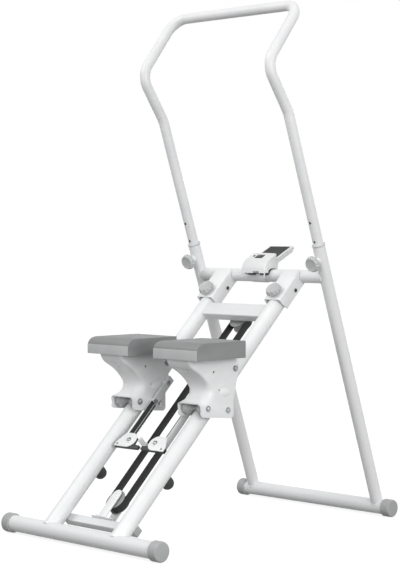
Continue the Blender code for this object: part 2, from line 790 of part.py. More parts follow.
def lower_crossmember():
    half = MEMBER_SIZE / 2
    place = frame(member_centre(), ALONG_RAIL, ABOVE_RAIL, ACROSS)
    length = MEMBER_HALF - PLUG_THICKNESS
    shape = rectangular_tube(half, half, MEMBER_WALL, -length, length, MEMBER_CORNER)
    add_object("lower_crossmember", shape, "white", place)
    neck = half - MEMBER_WALL - FIT_GAP
    low = length + FIT_GAP
    face = rectangle(half, half, MEMBER_CORNER)
    core = rectangle(neck, neck, MEMBER_CORNER - MEMBER_WALL)
    for side in (-1, 1):
        shape = stepped_prism([(core, low - half), (core, low), (face, low), (face, low + PLUG_THICKNESS)])
        shape.transform(Matrix.Diagonal((1, 1, side, 1)))
        add_object(f"crossmember_plug_{side_name(side)}", shape, "grey", place)


def racetrack(radius, low, high, steps=BELT_STEPS):
    """Closed outline of a loop round two pulleys at heights low and high."""
    return arc((0, high), radius, 0, 180, steps) + arc((0, low), radius, 180, 360, steps)


def drive_belt():
    outer = racetrack(BELT_HALF_SPACING + BELT_HALF, LOWER_PULLEY_ALONG, UPPER_PULLEY_ALONG)
    inner = racetrack(BELT_HALF_SPACING - BELT_HALF, LOWER_PULLEY_ALONG, UPPER_PULLEY_ALONG)
    shape = hollow_prism(outer, inner, -BELT_WIDTH / 2, BELT_WIDTH / 2)
    add_object("drive_belt", shape, "black", rail_frame(0, 0, -BELT_BELOW))


def pulley(name, along, parent):
    """Flanged pulley on a bore, which turns about an axis square to the rail plane."""
    rim = BELT_HALF_SPACING - BELT_HALF - FIT_GAP
    flange = BELT_HALF_SPACING + PULLEY_FLANGE_RISE
    inside = BELT_WIDTH / 2 + BORE_GAP
    outside = inside + PULLEY_FLANGE
    bore = PULLEY_AXLE_R + SLIDE_GAP
    profile = [(bore, -outside), (flange, -outside), (flange, -inside), (rim, -inside)]
    profile += [(rim, inside), (flange, inside), (flange, outside), (bore, outside)]
    add_object(name, turned(profile, PULLEY_SEGMENTS), "grey", rail_frame(0, along, -BELT_BELOW), parent)


def fork(name, along, tip, base, above, below, base_half):
    """Two straps over and under a pulley, a base plate and the riveted pin that the pulley turns on."""
    wall = STRAP_WALL
    place = rail_frame(0, 0)
    made = add_object(name, prism(strap_outline(STRAP_HALF, base, tip), above - wall, above), "white", place)
    lower = prism(strap_outline(STRAP_HALF, base, tip), below, below + wall)
    boolean(made, "lower_strap", lower, place, "UNION")
    near, far = sorted((base, base + math.copysign(wall, tip - base)))
    boolean(made, "base", box((-base_half, near, below), (base_half, far, above)), place, "UNION")
    pin = rod(PULLEY_AXLE_R, below - NUT_HEIGHT, above - wall / 2)
    boolean(made, "pin", pin, rail_frame(0, along), "UNION")
    head = rod(NUT_R, below - NUT_HEIGHT, below + wall / 2, BOLT_SEGMENTS)
    boolean(made, "pin_head", head, rail_frame(0, along), "UNION")


def strap_outline(half, base, tip):
    """A strap from its base to a rounded tip."""
    if tip > base:
        return [(-half, base), (half, base)] + arc((0, tip - half), half, 0, 180, TIP_STEPS)
    return [(half, base), (-half, base)] + arc((0, tip + half), half, 180, 360, TIP_STEPS)


def pulley_mounts():
    """The upper fork hangs from the crossbeam and the lower one stands off the crossmember."""
    below = -BELT_BELOW - BELT_WIDTH / 2 - PULLEY_FLANGE - STRAP_WALL - STRAP_GAP
    upper_above = BEAM_ABOVE - BEAM_DEPTH / 2 - FIT_GAP
    upper_base = UPPER_PULLEY_ALONG + BELT_HALF_SPACING + PULLEY_FLANGE_RISE + STRAP_GAP * 2
    upper_tip = UPPER_PULLEY_ALONG - STRAP_HALF
    straps = (upper_tip, upper_base, upper_above, below, STRAP_HALF)
    fork("upper_pulley_fork", UPPER_PULLEY_ALONG, *straps)
    lower_base = MEMBER_ALONG + MEMBER_SIZE / 2 + FIT_GAP
    lower_above = -BELT_BELOW + BELT_WIDTH / 2 + PULLEY_FLANGE + STRAP_WALL + STRAP_GAP
    straps = (LOWER_STRAP_TIP, lower_base, lower_above, below, FORK_BASE_HALF)
    fork("lower_pulley_fork", LOWER_PULLEY_ALONG, *straps)


def fold_rests():
    """Rubber domes under the rails, which the front base tube meets when folded."""
    for side in (-1, 1):
        tip = REST_TIP_BELOW
        profile = [(0, REST_ROOT), (REST_R, REST_ROOT)]
        for latitude in REST_LATITUDES:
            turn = math.radians(latitude)
            profile.append((REST_R * math.cos(turn), tip - REST_DOME * (1 - math.sin(turn))))
        profile.append((0, tip))
        place = frame(rail_point(side * RAIL_X, REST_ALONG), ACROSS, -ALONG_RAIL, -ABOVE_RAIL)
        made = add_object(f"fold_rest_{side_name(side)}", turned(profile, SMALL_SEGMENTS), "black", place)
        cutter = clearance_rod(RAIL_R, REST_R * CUT_REACH)
        along = frame(rail_point(side * RAIL_X, REST_ALONG), ACROSS, -ABOVE_RAIL, ALONG_RAIL)
        boolean(made, "seat", cutter, along)


def side_plate_outline():
    """Rear edge, from the pedal down to the heel, and the rest of the outline, in (forward, up)."""
    top = PEDAL_BASE - FIT_GAP
    waist = (-WAIST_BACK, WAIST_UP)
    rear = [(-LIP_BACK, top)] + curve((-LIP_BACK, LIP_UP), (-SWEEP_BACK, SWEEP_UP), waist, 3)
    rear += curve(waist, (-WAIST_BACK, HOLLOW_UP), (-HEEL_BACK, -HEEL_DOWN), 2)[1:]
    rest = [(-HEEL_BACK, -WINDOW_DOWN), (-SOLE_BACK, -SOLE_DOWN), (TOE_AHEAD, -TOE_DOWN)]
    rest += [(SHIN_AHEAD, TOE_CORNER - TOE_DOWN), (SHIN_AHEAD, SHIN_UP)]
    rest += [(KNEE_AHEAD, KNEE_UP), (BROW_AHEAD, top)]
    return rear, rest


def ear_outline():
    """The V of one ear, in (forward, up)."""
    top = PEDAL_BASE - FIT_GAP
    tip = (-EAR_TIP_BACK, EAR_TIP_UP)
    bow = (-EAR_REAR_BOW_BACK, EAR_REAR_BOW_UP)
    points = [(-EAR_BACK, top)] + curve((-EAR_BACK, LIP_UP), bow, tip, EAR_STEPS)
    bow = (EAR_FRONT_BOW_AHEAD, EAR_FRONT_BOW_UP)
    points += curve(tip, bow, (EAR_FRONT, EAR_FRONT_UP), EAR_STEPS)[1:]
    return points + [(EAR_FRONT, top)]


def carriage_frame(side):
    """Local x across, y forward, z up, at the carriage's centre on its rail."""
    return Matrix.Translation(rail_point(side * RAIL_X, CARRIAGE_ALONG))


def on_carriage(along, above):
    """(forward, up) of a point given along and above the rail from the carriage's centre."""
    place = ALONG_RAIL * along + ABOVE_RAIL * above
    return place.y, place.z


def carriage_bracket(side, parent):
    """Sheet-metal bracket: two side plates, a curved rear web and a top plate, folded from one sheet."""
    shape = bmesh.new()
    rear, rest = side_plate_outline()
    outline = rear + rest
    walls = []
    for x in (-CARRIAGE_HALF, CARRIAGE_HALF):
        walls.append([shape.verts.new((x, forward, up)) for forward, up in outline])
    shape.faces.new(walls[0])
    shape.faces.new(walls[1][::-1])
    folds = []
    for step in range(len(rear) - 1):
        shape.faces.new((walls[0][step], walls[1][step], walls[1][step + 1], walls[0][step + 1]))
    shape.faces.new((walls[0][-1], walls[1][-1], walls[1][0], walls[0][0]))
    bmesh.ops.recalc_face_normals(shape, faces=shape.faces)
    for wall in walls:
        for step in range(len(rear) - 1):
            folds.append(shape.edges.get((wall[step], wall[step + 1])))
    bmesh.ops.bevel(shape, geom=folds, offset=PLATE_FOLD_R, segments=2, profile=0.5, affect="EDGES")
    name = f"carriage_bracket_{side_name(side)}"
    made = add_object(name, shape, "white", carriage_frame(side), parent)
    sheet = made.modifiers.new("sheet", "SOLIDIFY")
    sheet.thickness = PLATE_WALL
    sheet.offset = -1
    sheet.use_even_offset = True
    facets(made)
    reach = CARRIAGE_HALF * CUT_REACH
    for face in (-1, 1):
        low, high = sorted((face * (CARRIAGE_HALF - PLATE_WALL / 2), face * (CARRIAGE_HALF + EAR_RISE)))
        ear = prism(ear_outline(), low, high)
        boolean(made, f"ear_{side_name(face)}", ear, carriage_frame(side) @ cross_turn(), "UNION")
    for label, along, level in ROLLER_STATIONS:
        forward, up = on_carriage(along, level * ROLLER_OFFSET)
        place = carriage_frame(side) @ Matrix.Translation((0, forward, up)) @ cross_turn()
        boolean(made, f"axle_{label}", rod(AXLE_R + BORE_GAP, -reach, reach), place)
    place = carriage_frame(side) @ Matrix.Translation((0, -SIDE_HOLE_BACK, SIDE_HOLE_UP)) @ cross_turn()
    boolean(made, "side_holes", rod(SIDE_HOLE_R, -reach, reach), place)
    for index, offset in enumerate(ARM_BOLT_OFFSETS):
        along = CARRIAGE_ALONG + offset
        place = cross_frame(rail_point(side * (RAIL_X - CARRIAGE_HALF), along, arm_middle()))
        depth = (PLATE_WALL + EAR_RISE) * CUT_REACH
        hole = rod(ARM_BOLT_R + BORE_GAP, -depth, depth)
        boolean(made, f"arm_hole_{index}", hole, place)


def cross_turn():
    return frame(Vector((0, 0, 0)), Vector((0, 1, 0)), Vector((0, 0, 1)), ACROSS)


def arm_middle():
    return ARM_DEPTH / 2 - ARM_BELOW


def roller(side, label, along, level, parent):
    """Waisted roller, whose flanks hug the rail with a small gap."""
    half_arc = math.acos((ROLLER_OFFSET - ROLLER_R) / (RAIL_R + FIT_GAP))
    hug = (RAIL_R + FIT_GAP) / math.cos(half_arc / ROLLER_STEPS / 2)
    half_arc = math.acos((ROLLER_OFFSET - ROLLER_R) / hug)
    profile = [(ROLLER_R, -ROLLER_HALF)]
    for step in range(-ROLLER_STEPS, ROLLER_STEPS + 1):
        angle = half_arc * step / ROLLER_STEPS
        profile.append((ROLLER_OFFSET - hug * math.cos(angle), hug * math.sin(angle)))
    profile.append((ROLLER_R, ROLLER_HALF))
    bore = AXLE_R + SLIDE_GAP
    profile += [(bore, ROLLER_HALF), (bore, -ROLLER_HALF)]
    place = cross_frame(rail_point(side * RAIL_X, CARRIAGE_ALONG + along, level * ROLLER_OFFSET))
    add_object(f"roller_{label}_{side_name(side)}", turned(profile), "grey", place, parent)


def bolt(shaft, head, low, high, thickness, segments=BOLT_SEGMENTS):
    """A bolt with a head at one end and a nut at the other, along local z."""
    profile = [(0, low - thickness), (head, low - thickness), (head, low), (shaft, low)]
    profile += [(shaft, high), (head, high), (head, high + thickness), (0, high + thickness)]
    return turned(profile, segments)


def roller_axle(side, label, along, level, parent):
    """Bolt through both side plates of a carriage, on which one roller turns."""
    reach = CARRIAGE_HALF + FIT_GAP
    centre = rail_point(side * RAIL_X, CARRIAGE_ALONG + along, level * ROLLER_OFFSET)
    shape = bolt(AXLE_R, AXLE_HEAD_R, -reach, reach, AXLE_HEAD)
    add_object(f"roller_axle_{label}_{side_name(side)}", shape, "steel", cross_frame(centre), parent)


def pedal(side, parent):
    """Moulded foot platform with a sloped rear lip, a ribbed tread and pockets underneath."""
    half = PEDAL_WIDTH / 2
    rear = PEDAL_REAR
    front = rear + PEDAL_LENGTH
    low = PEDAL_BASE
    top = low + PEDAL_HEIGHT
    crest = (rear + PEDAL_TOE_RUN, top)
    lip = (rear, top - PEDAL_TOE_DROP)
    brow = (rear + PEDAL_BROW_RUN, top - PEDAL_BROW_DROP)
    profile = [(rear, low), (front, low), (front, top)] + curve(crest, brow, lip, 3)
    place = carriage_frame(side) @ frame(Vector((0, 0, 0)), Vector((0, 1, 0)), Vector((0, 0, 1)), ACROSS)
    made = add_object(f"pedal_{side_name(side)}", prism(profile, -half, half), "pedal", place, parent)
    bevel(made, PEDAL_EDGE)
    # The grooves leave the tread's ribs standing at the height of the rim.
    start = rear + PEDAL_TOE_RUN + PEDAL_RIM
    end = front - PEDAL_RIM
    pitch = (end - start) / PEDAL_GROOVE_COUNT
    floor = top - PEDAL_TREAD_DEPTH
    span = half - PEDAL_RIM
    grooves = bmesh.new()
    for index in range(PEDAL_GROOVE_COUNT):
        near = start + pitch * (index + (1 - PEDAL_GROOVE_SHARE) / 2)
        far = near + pitch * PEDAL_GROOVE_SHARE
        groove = box((near, floor, -span), (far, top + PEDAL_TREAD_DEPTH, span))
        add_moved(grooves, groove, Matrix.Identity(4))
    boolean(made, "tread", grooves, place)
    pockets = bmesh.new()
    wall = PEDAL_POCKET_WALL
    for edge in (-1, 1):
        near, far = sorted((edge * (CARRIAGE_HALF + wall), edge * (half - wall)))
        first = rear + PEDAL_TOE_RUN + wall
        step = (front - first) / PEDAL_POCKET_COUNT
        for index in range(PEDAL_POCKET_COUNT):
            begin = first + step * index
            pocket = box((begin, low - wall, near), (begin + step - wall, low + PEDAL_POCKET_DEPTH, far))
            add_moved(pockets, pocket, Matrix.Identity(4))
    boolean(made, "pockets", pockets, place)


def belt_arm(side, parent):
    """Flat bar from the carriage down to the belt clamp, with spacers to the inner side plate."""
    half = ARM_THICKNESS / 2
    x = side * ARM_X
    low = (x - half, ARM_START, -ARM_BELOW)
    high = (x + half, ARM_END, ARM_DEPTH - ARM_BELOW)
    made = add_object(f"belt_arm_{side_name(side)}", box(low, high), "white", rail_frame(0, 0), parent)
    face = side * (RAIL_X - CARRIAGE_HALF - FIT_GAP)
    for index, offset in enumerate(ARM_BOLT_OFFSETS):
        place = cross_frame(rail_point(0, CARRIAGE_ALONG + offset, arm_middle()))
        start, end = sorted((x, face))
        boolean(made, f"spacer_{index}", rod(ARM_SPACER_R, start, end), place, "UNION")


def clamp_outline(side):
    """Tongue with a round inner end and a lower outer wing, in (across, along)."""
    low = CLAMP_ALONG - CLAMP_LOBE_R
    high = CLAMP_ALONG + CLAMP_LOBE_R
    points = [(CLAMP_WING_X, low), (CLAMP_WING_X, ARM_START), (ARM_X + ARM_THICKNESS, high)]
    points += arc((CLAMP_LOBE_X, CLAMP_ALONG), CLAMP_LOBE_R, 90, 270, LOBE_STEPS)
    return [(side * x, along) for x, along in points]


def belt_clamp(side, parent):
    """White clamp plate on the arm's end, and the black jaw that wraps the belt's edge."""
    name = side_name(side)
    plate = prism(clamp_outline(side), CLAMP_BASE, CLAMP_BASE + CLAMP_PLATE)
    made = add_object(f"clamp_plate_{name}", plate, "white", rail_frame(0, 0), parent)
    top = CLAMP_BASE + CLAMP_PLATE
    ring = rod(CLAMP_RING_R, CLAMP_BASE + CLAMP_PLATE / 2, top + CLAMP_RING_RISE, SMALL_SEGMENTS)
    boolean(made, "ring", ring, rail_frame(side * CLAMP_LOBE_X, CLAMP_ALONG), "UNION")
    top = CLAMP_BASE - FIT_GAP
    bottom = top - JAW_SLAB
    inner_face = ARM_X - ARM_THICKNESS / 2 - FIT_GAP
    belt_outer = BELT_HALF_SPACING + BELT_HALF + SLIDE_GAP
    belt_inner = BELT_HALF_SPACING - BELT_HALF - SLIDE_GAP
    low = CLAMP_ALONG - CLAMP_LOBE_R
    slab = [(inner_face, ARM_START - FIT_GAP), (inner_face, CLAMP_ALONG + JAW_SHOULDER)]
    slab += [(belt_outer, CLAMP_ALONG + JAW_HALF_LENGTH), (belt_outer, CLAMP_ALONG - JAW_HALF_LENGTH)]
    slab += [(CLAMP_LOBE_X, low), (CLAMP_WING_X, low), (CLAMP_WING_X, ARM_START - FIT_GAP)]
    outline = [(side * x, along) for x, along in slab]
    made = add_object(f"belt_jaw_{name}", prism(outline, bottom, top), "black", rail_frame(0, 0), parent)
    belt_top = -BELT_BELOW + BELT_WIDTH / 2 + SLIDE_GAP
    belt_bottom = -BELT_BELOW - BELT_WIDTH / 2
    roof = belt_top + JAW_ROOF
    inside = bottom + JAW_OVERLAP
    hook = [(belt_outer + JAW_OUTER, inside), (belt_outer + JAW_OUTER, belt_bottom)]
    hook += [(belt_outer, belt_bottom), (belt_outer, belt_top), (belt_inner, belt_top)]
    hook += [(belt_inner, belt_bottom), (belt_inner - JAW_INNER, belt_bottom)]
    hook += [(belt_inner - JAW_INNER, roof), (belt_outer, roof), (belt_outer, inside)]
    section = [(side * x, above) for x, above in hook]
    shape = prism(section, -JAW_HALF_LENGTH, JAW_HALF_LENGTH)
    place = frame(rail_point(0, CLAMP_ALONG), ACROSS, ABOVE_RAIL, -ALONG_RAIL)
    boolean(made, "hook", shape, place, "UNION")


def hood_crown(x):
    """How far the hood's middle stands above its sides."""
    return HOOD_CROWN * (1 - (x / DISPLAY_HALF) ** 2)


def direction(angle):
    """Unit vectors along and square to a slope, in (forward, up)."""
    return Vector((math.cos(angle), math.sin(angle))), Vector((-math.sin(angle), math.cos(angle)))


def display_shell():
    """Crowned hood over the crossbar and the long tray behind it, lofted across the counter."""
    slope, rise = direction(DISPLAY_TILT)
    tray_slope, tray_rise = direction(TRAY_TILT)
    face = Vector((-HOOD_FACE_BACK, HOOD_FACE_UP))
    tray = Vector((TRAY_AHEAD, TRAY_UP))
    tray_end = tray + tray_slope * TRAY_LENGTH
    hood = curve((-HOOD_BACK, HOOD_SILL), (-HOOD_BROW_BACK, HOOD_BROW_UP), tuple(face), 4)
    hood.append(tuple(face + slope * HOOD_FACE_LENGTH))
    under = tray - tray_rise * TRAY_THICKNESS
    rest = [tray, tray_end, tray_end + tray_slope * TRAY_NOSE_OUT - tray_rise * TRAY_NOSE]
    rest += [tray_end - tray_slope * TRAY_NOSE - tray_rise * TRAY_THICKNESS, under]
    rest += [Vector((SADDLE_AHEAD, SADDLE_UP)), Vector((-HOOD_BACK, SADDLE_UP))]
    levels = []
    for share in CROWN_STATIONS:
        x = share * DISPLAY_HALF
        lift = rise * hood_crown(x)
        raised = [hood[0]] + [(y + lift.x, z + lift.y) for y, z in hood[1:]]
        levels.append((raised + [tuple(point) for point in rest], x))
    return stepped_prism(levels)


def display(frame_parent, button_parent):
    """Counter on the crossbar: a crowned hood with screen and button, and a ribbed pad on its tray."""
    centre = leg_point(0, CROSSBAR_ALONG_LEG)
    place = Matrix.Translation(centre) @ cross_turn()
    slope, rise = direction(DISPLAY_TILT)
    tray_slope, tray_rise = direction(TRAY_TILT)
    across = Vector((0, 0, 1))
    housing = add_object("display_housing", display_shell(), "white", place, frame_parent)
    bevel(housing, DISPLAY_EDGE, angle=60)
    facets(housing)
    # The saddle's bore is wider where the strap passes.
    bore = (CROSSBAR_R + FIT_GAP) / math.cos(math.pi / TUBE_SEGMENTS)
    groove = (CROSSBAR_R + STRAP_BAND + FIT_GAP) / math.cos(math.pi / TUBE_SEGMENTS)
    end = DISPLAY_HALF * CUT_REACH
    step = STRAP_HALF_WIDTH + FIT_GAP
    profile = [(0, -end), (bore, -end), (bore, -step), (groove, -step)]
    profile += [(groove, step), (bore, step), (bore, end), (0, end)]
    boolean(housing, "saddle", turned(profile, TUBE_SEGMENTS), cross_frame(centre))
    clip = tube(CROSSBAR_R + STRAP_BAND, STRAP_BAND - FIT_GAP, -STRAP_HALF_WIDTH, STRAP_HALF_WIDTH)
    add_object("display_strap", clip, "black", cross_frame(centre), frame_parent)

    tray = Vector((TRAY_AHEAD, TRAY_UP, 0))
    pad_place = place @ frame(tray, Vector((*tray_slope, 0)), Vector((*tray_rise, 0)), across)
    low = (PAD_START - FIT_GAP, -PAD_SUNK, -PAD_HALF - FIT_GAP)
    high = (PAD_START + PAD_LENGTH + FIT_GAP, PAD_PROUD * 2, PAD_HALF + FIT_GAP)
    boolean(housing, "pad_recess", box(low, high), pad_place)
    base = FIT_GAP - PAD_SUNK
    pitch = PAD_LENGTH / PAD_RIB_COUNT
    outline = [(PAD_START, base)]
    for index in range(PAD_RIB_COUNT):
        near = PAD_START + index * pitch
        far = near + pitch * PAD_RIB_SHARE
        outline += [(near, PAD_PROUD), (far, PAD_PROUD)]
        outline += [(far, PAD_PROUD - PAD_GROOVE), (near + pitch, PAD_PROUD - PAD_GROOVE)]
    outline.append((PAD_START + PAD_LENGTH, base))
    add_object("display_pad", prism(outline, -PAD_HALF, PAD_HALF), "black", pad_place, frame_parent)

    middle = Vector((-HOOD_FACE_BACK, HOOD_FACE_UP)) + slope * HOOD_FACE_LENGTH / 2
    face_place = place @ frame(Vector((*middle, 0)), Vector((*slope, 0)), Vector((*rise, 0)), across)
    half = SCREEN_DEPTH / 2
    surface = hood_crown(SCREEN_HALF)
    top = surface - SCREEN_SUNK
    floor = top - SCREEN_THICKNESS
    left, right = SCREEN_X - SCREEN_HALF, SCREEN_X + SCREEN_HALF
    recess_low = (-half - FIT_GAP, floor - FIT_GAP, left - FIT_GAP)
    recess = box(recess_low, (half + FIT_GAP, surface + HOOD_CROWN, right + FIT_GAP))
    boolean(housing, "screen_recess", recess, face_place)
    screen = box((-half, floor, left), (half, top, right))
    add_object("display_screen", screen, "screen", face_place, frame_parent)

    surface = hood_crown(BUTTON_X)
    button_at = Vector((*(middle + rise * surface), BUTTON_X))
    button_place = place @ frame(button_at, across, Vector((*slope, 0)), Vector((*rise, 0)))
    floor = -BUTTON_SKIRT - BUTTON_TRAVEL - FIT_GAP
    well = rod(BUTTON_R + BORE_GAP, floor, BUTTON_PROUD * 2, SMALL_SEGMENTS)
    boolean(housing, "button_well", well, button_place)
    profile = [(0, -BUTTON_SKIRT), (BUTTON_R, -BUTTON_SKIRT), (BUTTON_R, BUTTON_PROUD - BUTTON_EDGE)]
    profile += [(BUTTON_R - BUTTON_EDGE, BUTTON_PROUD - BUTTON_DOME), (0, BUTTON_PROUD)]
    add_object("display_button", turned(profile), "grey", button_place, button_parent)


def build():
    clear_scene()
    base_tube("rear_base_tube", REAR_TUBE_R, REAR_HALF_WIDTH, REAR_AXIS)
    front = joint_empty("frame_fold", PIVOT)
    base_tube("front_base_tube", FRONT_TUBE_R, FRONT_HALF_WIDTH, FRONT_AXIS, front)
    upper_crossbeam()
    lower_crossmember()
    drive_belt()
    pulley_mounts()
    fold_rests()
    crossbar(front)
    height = joint_empty("handlebar_height", leg_point(0, HEIGHT_PIN_ALONG))
    handlebar(height)
    for name, along in (("upper_pulley", UPPER_PULLEY_ALONG), ("lower_pulley", LOWER_PULLEY_ALONG)):
        pulley(name, along, joint_empty(f"{name}_spin", rail_point(0, along, -BELT_BELOW)))
    for side in (-1, 1):
        label = side_name(side)
        end_cap(f"rear_cap_{label}", REAR_TUBE_R, REAR_HALF_WIDTH, side, REAR_AXIS)
        end_cap(f"front_cap_{label}", FRONT_TUBE_R, FRONT_HALF_WIDTH, side, FRONT_AXIS, front)
        rail(side)
        fold_pivot_bolt(side)
        fold_channel(side, front)
        leg(side, front)
        collar(side, front)
        fold_at = rail_frame(side * RAIL_X, CROSSBAR_ALONG_RAIL - FOLD_KNOB_BACK)
        shoulder = CHANNEL_TOP + FOLD_BOSS_HEIGHT + FIT_GAP
        empty = joint_empty(f"fold_pin_{label}", fold_at.translation)
        pull_knob(f"fold_knob_{label}", fold_at, RAIL_R + FIT_GAP, shoulder, empty)
        height_at = frame(leg_point(side * LEG_X, HEIGHT_PIN_ALONG), ACROSS, ALONG_LEG, BEHIND_LEG)
        shoulder = LEG_R + HEIGHT_BOSS_HEIGHT + FIT_GAP
        empty = joint_empty(f"height_pin_{label}", height_at.translation)
        pull_knob(f"height_knob_{label}", height_at, HANDLE_R + FIT_GAP, shoulder, empty)
        slide = joint_empty(f"carriage_slide_{label}", rail_point(side * RAIL_X, CARRIAGE_ALONG))
        carriage_bracket(side, slide)
        pedal(side, slide)
        belt_arm(side, slide)
        belt_clamp(side, slide)
        for place, along, level in ROLLER_STATIONS:
            roller_axle(side, place, along, level, slide)
            axle = rail_point(side * RAIL_X, CARRIAGE_ALONG + along, level * ROLLER_OFFSET)
            roller(side, place, along, level, joint_empty(f"roller_{place}_spin_{label}", axle))
    display(front, joint_empty("display_button_press", leg_point(0, CROSSBAR_ALONG_LEG)))


build()
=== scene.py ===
import math

import bmesh
import bpy
from mathutils import Matrix, Vector


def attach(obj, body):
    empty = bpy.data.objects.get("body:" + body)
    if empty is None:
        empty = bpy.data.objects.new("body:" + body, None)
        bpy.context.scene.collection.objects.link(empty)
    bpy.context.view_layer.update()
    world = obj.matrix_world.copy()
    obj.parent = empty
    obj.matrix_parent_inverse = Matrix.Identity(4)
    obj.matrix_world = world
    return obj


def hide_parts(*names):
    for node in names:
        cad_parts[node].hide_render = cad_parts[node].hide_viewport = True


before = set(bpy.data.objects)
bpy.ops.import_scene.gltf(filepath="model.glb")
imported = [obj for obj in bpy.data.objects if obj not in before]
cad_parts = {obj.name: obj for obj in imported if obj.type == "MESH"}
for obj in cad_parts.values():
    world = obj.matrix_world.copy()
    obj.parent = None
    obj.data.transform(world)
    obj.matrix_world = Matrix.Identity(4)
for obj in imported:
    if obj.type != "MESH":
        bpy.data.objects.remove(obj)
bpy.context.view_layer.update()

# Sizes shared with the solids, in metres
BASE_SPACING = 1.0
REAR_R, FRONT_R, RAIL_R, LEG_R, CROSSBAR_R, HANDLE_R = 0.024, 0.0225, 0.025, 0.019, 0.02, 0.016
REAR_HALF, FRONT_HALF = 0.332, 0.3255
RAIL_X, LEG_X = 0.1438, 0.2656
RAIL_ANGLE, LEG_LEAN = math.radians(44.16), math.radians(19.26)
REAR_CAP_R, FRONT_CAP_R = 0.029, 0.0275
CAP_FLAT = math.cos(math.pi / 20)
REAR = Vector((0, -(BASE_SPACING + (FRONT_CAP_R - REAR_CAP_R) * CAP_FLAT) / 2, REAR_CAP_R * CAP_FLAT))
FRONT = Vector((0, REAR.y + BASE_SPACING, FRONT_CAP_R * CAP_FLAT))
X, Y, Z = Vector((1, 0, 0)), Vector((0, 1, 0)), Vector((0, 0, 1))
ALONG = Vector((0, math.cos(RAIL_ANGLE), math.sin(RAIL_ANGLE)))
ABOVE = Vector((0, -math.sin(RAIL_ANGLE), math.cos(RAIL_ANGLE)))
UP_LEG = Vector((0, -math.sin(LEG_LEAN), math.cos(LEG_LEAN)))
BEHIND = Vector((0, -math.cos(LEG_LEAN), -math.sin(LEG_LEAN)))
# Wall of the tubes, gap between fitted parts, hole for pins and bolts, half the length of a long cutter
WALL, GAP, BORE, REACH = 0.002, 0.0003, 0.0045, 0.06


def rail_point(x, along, above=0.0):
    """Place across, along the rail from the base, and above the rail's axis."""
    return REAR + X * x + ALONG * along + ABOVE * above


def leg_point(x, along, behind=0.0):
    """Place across, up the leg from its base, and behind the leg's axis."""
    return FRONT + X * x + UP_LEG * along + BEHIND * behind


def crossing():
    """How far along the rail and up the leg their axes cross."""
    gap = FRONT - REAR
    turn = ALONG.y * -UP_LEG.z + UP_LEG.y * ALONG.z
    return (gap.y * -UP_LEG.z + UP_LEG.y * gap.z) / turn, (ALONG.y * gap.z - ALONG.z * gap.y) / turn


CROSSBAR_ALONG, CROSSBAR_UP = crossing()
LEG_TOP, PIN_ALONG, HOLE_PITCH = 0.868, 0.826, 0.06
LOCK_ALONG = CROSSBAR_ALONG - 0.1
PIVOT_ALONG = CROSSBAR_ALONG - 0.056
PIVOT = rail_point(0, PIVOT_ALONG, -0.004)
REST_ALONG = PIVOT_ALONG - math.sqrt((FRONT - PIVOT).length_squared - (0.052 + FRONT_R + GAP - 0.004) ** 2)
BEAM_ALONG, CARRIAGE_ALONG, ROLLER_OUT, BRACKET_HALF = 0.88, 0.53, 0.032, 0.0475
UPPER_PULLEY, LOWER_PULLEY, PULLEY_R = 0.875, 0.155, 0.0304
BELT_LEVEL, BELT_HALF, BELT_THICK = -0.039, 0.012, 0.003
CROSSMEMBER_ALONG, CROSSMEMBER_HALF = 0.072, 0.013
CLAMP_LOBE, CLAMP_BASE, CLAMP_SHEET = (0.056, 0.342), 0.0108, 0.003
# The rollers of a carriage: how far along they sit, and on which side of the rail
STATIONS = (("rear", -0.058, 1), ("front", 0.1, 1), ("under", -0.006, -1))


def axes(origin, x_axis, y_axis, z_axis):
    """Placement whose own axes point along the given directions."""
    return Matrix.Translation(origin) @ Matrix((x_axis, y_axis, z_axis)).transposed().to_4x4()


def cross(origin):
    """Own z across the machine, x forward, y up."""
    return axes(origin, Y, Z, X)


def on_rail(x, along, above=0.0):
    """Own x across, y along the rail, z above it."""
    return axes(rail_point(x, along, above), X, ALONG, ABOVE)


def on_leg(x, along):
    """Own z up the leg."""
    return axes(leg_point(x, along), X, -BEHIND, UP_LEG)


def behind_leg(x, along):
    """Own z out of the leg's rear."""
    return axes(leg_point(x, along), X, UP_LEG, BEHIND)


def round_rail(x, along, above=0.0):
    """Own z along the rail."""
    return axes(rail_point(x, along, above), X, -ABOVE, ALONG)


def beside_rail(x, along, above=0.0):
    """Own x along the rail, y above it, z across."""
    return axes(rail_point(x, along, above), ALONG, ABOVE, X)


SIDEWAYS = cross(Vector((0, 0, 0)))
CARRIAGE_AT = Matrix.Translation(rail_point(RAIL_X, CARRIAGE_ALONG))


# Materials

def linear(code):
    """Linear colour of an sRGB hex code."""
    shares = [int(code[k:k + 2], 16) / 255 for k in (0, 2, 4)]
    return (*(s / 12.92 if s <= 0.04045 else ((s + 0.055) / 1.055) ** 2.4 for s in shares), 1.0)


def link(owner, source, socket):
    """Links an output, or a node's first output, to a socket."""
    owner.node_tree.links.new(getattr(source, "outputs", [source])[0], socket)


def add(owner, kind, settings, links):
    """Adds one shader node with its settings, and links outputs or other nodes into it."""
    made = owner.node_tree.nodes.new("ShaderNode" + kind)
    for name, value in settings.items():
        if isinstance(name, int) or name in made.inputs:
            made.inputs[name].default_value = value
        else:
            setattr(made, name, value)
    for name, source in links.items():
        link(owner, source, made.inputs[name])
    return made


def blank(name, ior=None, metallic=0.0):
    """A new material, its shader and the object's own coordinates."""
    material = bpy.data.materials.new(name)
    material.use_nodes = True
    shader = material.node_tree.nodes["Principled BSDF"]
    if ior:
        shader.inputs["IOR"].default_value = ior
    shader.inputs["Metallic"].default_value = metallic
    return material, shader, add(material, "TexCoord", {}, {}).outputs["Object"]


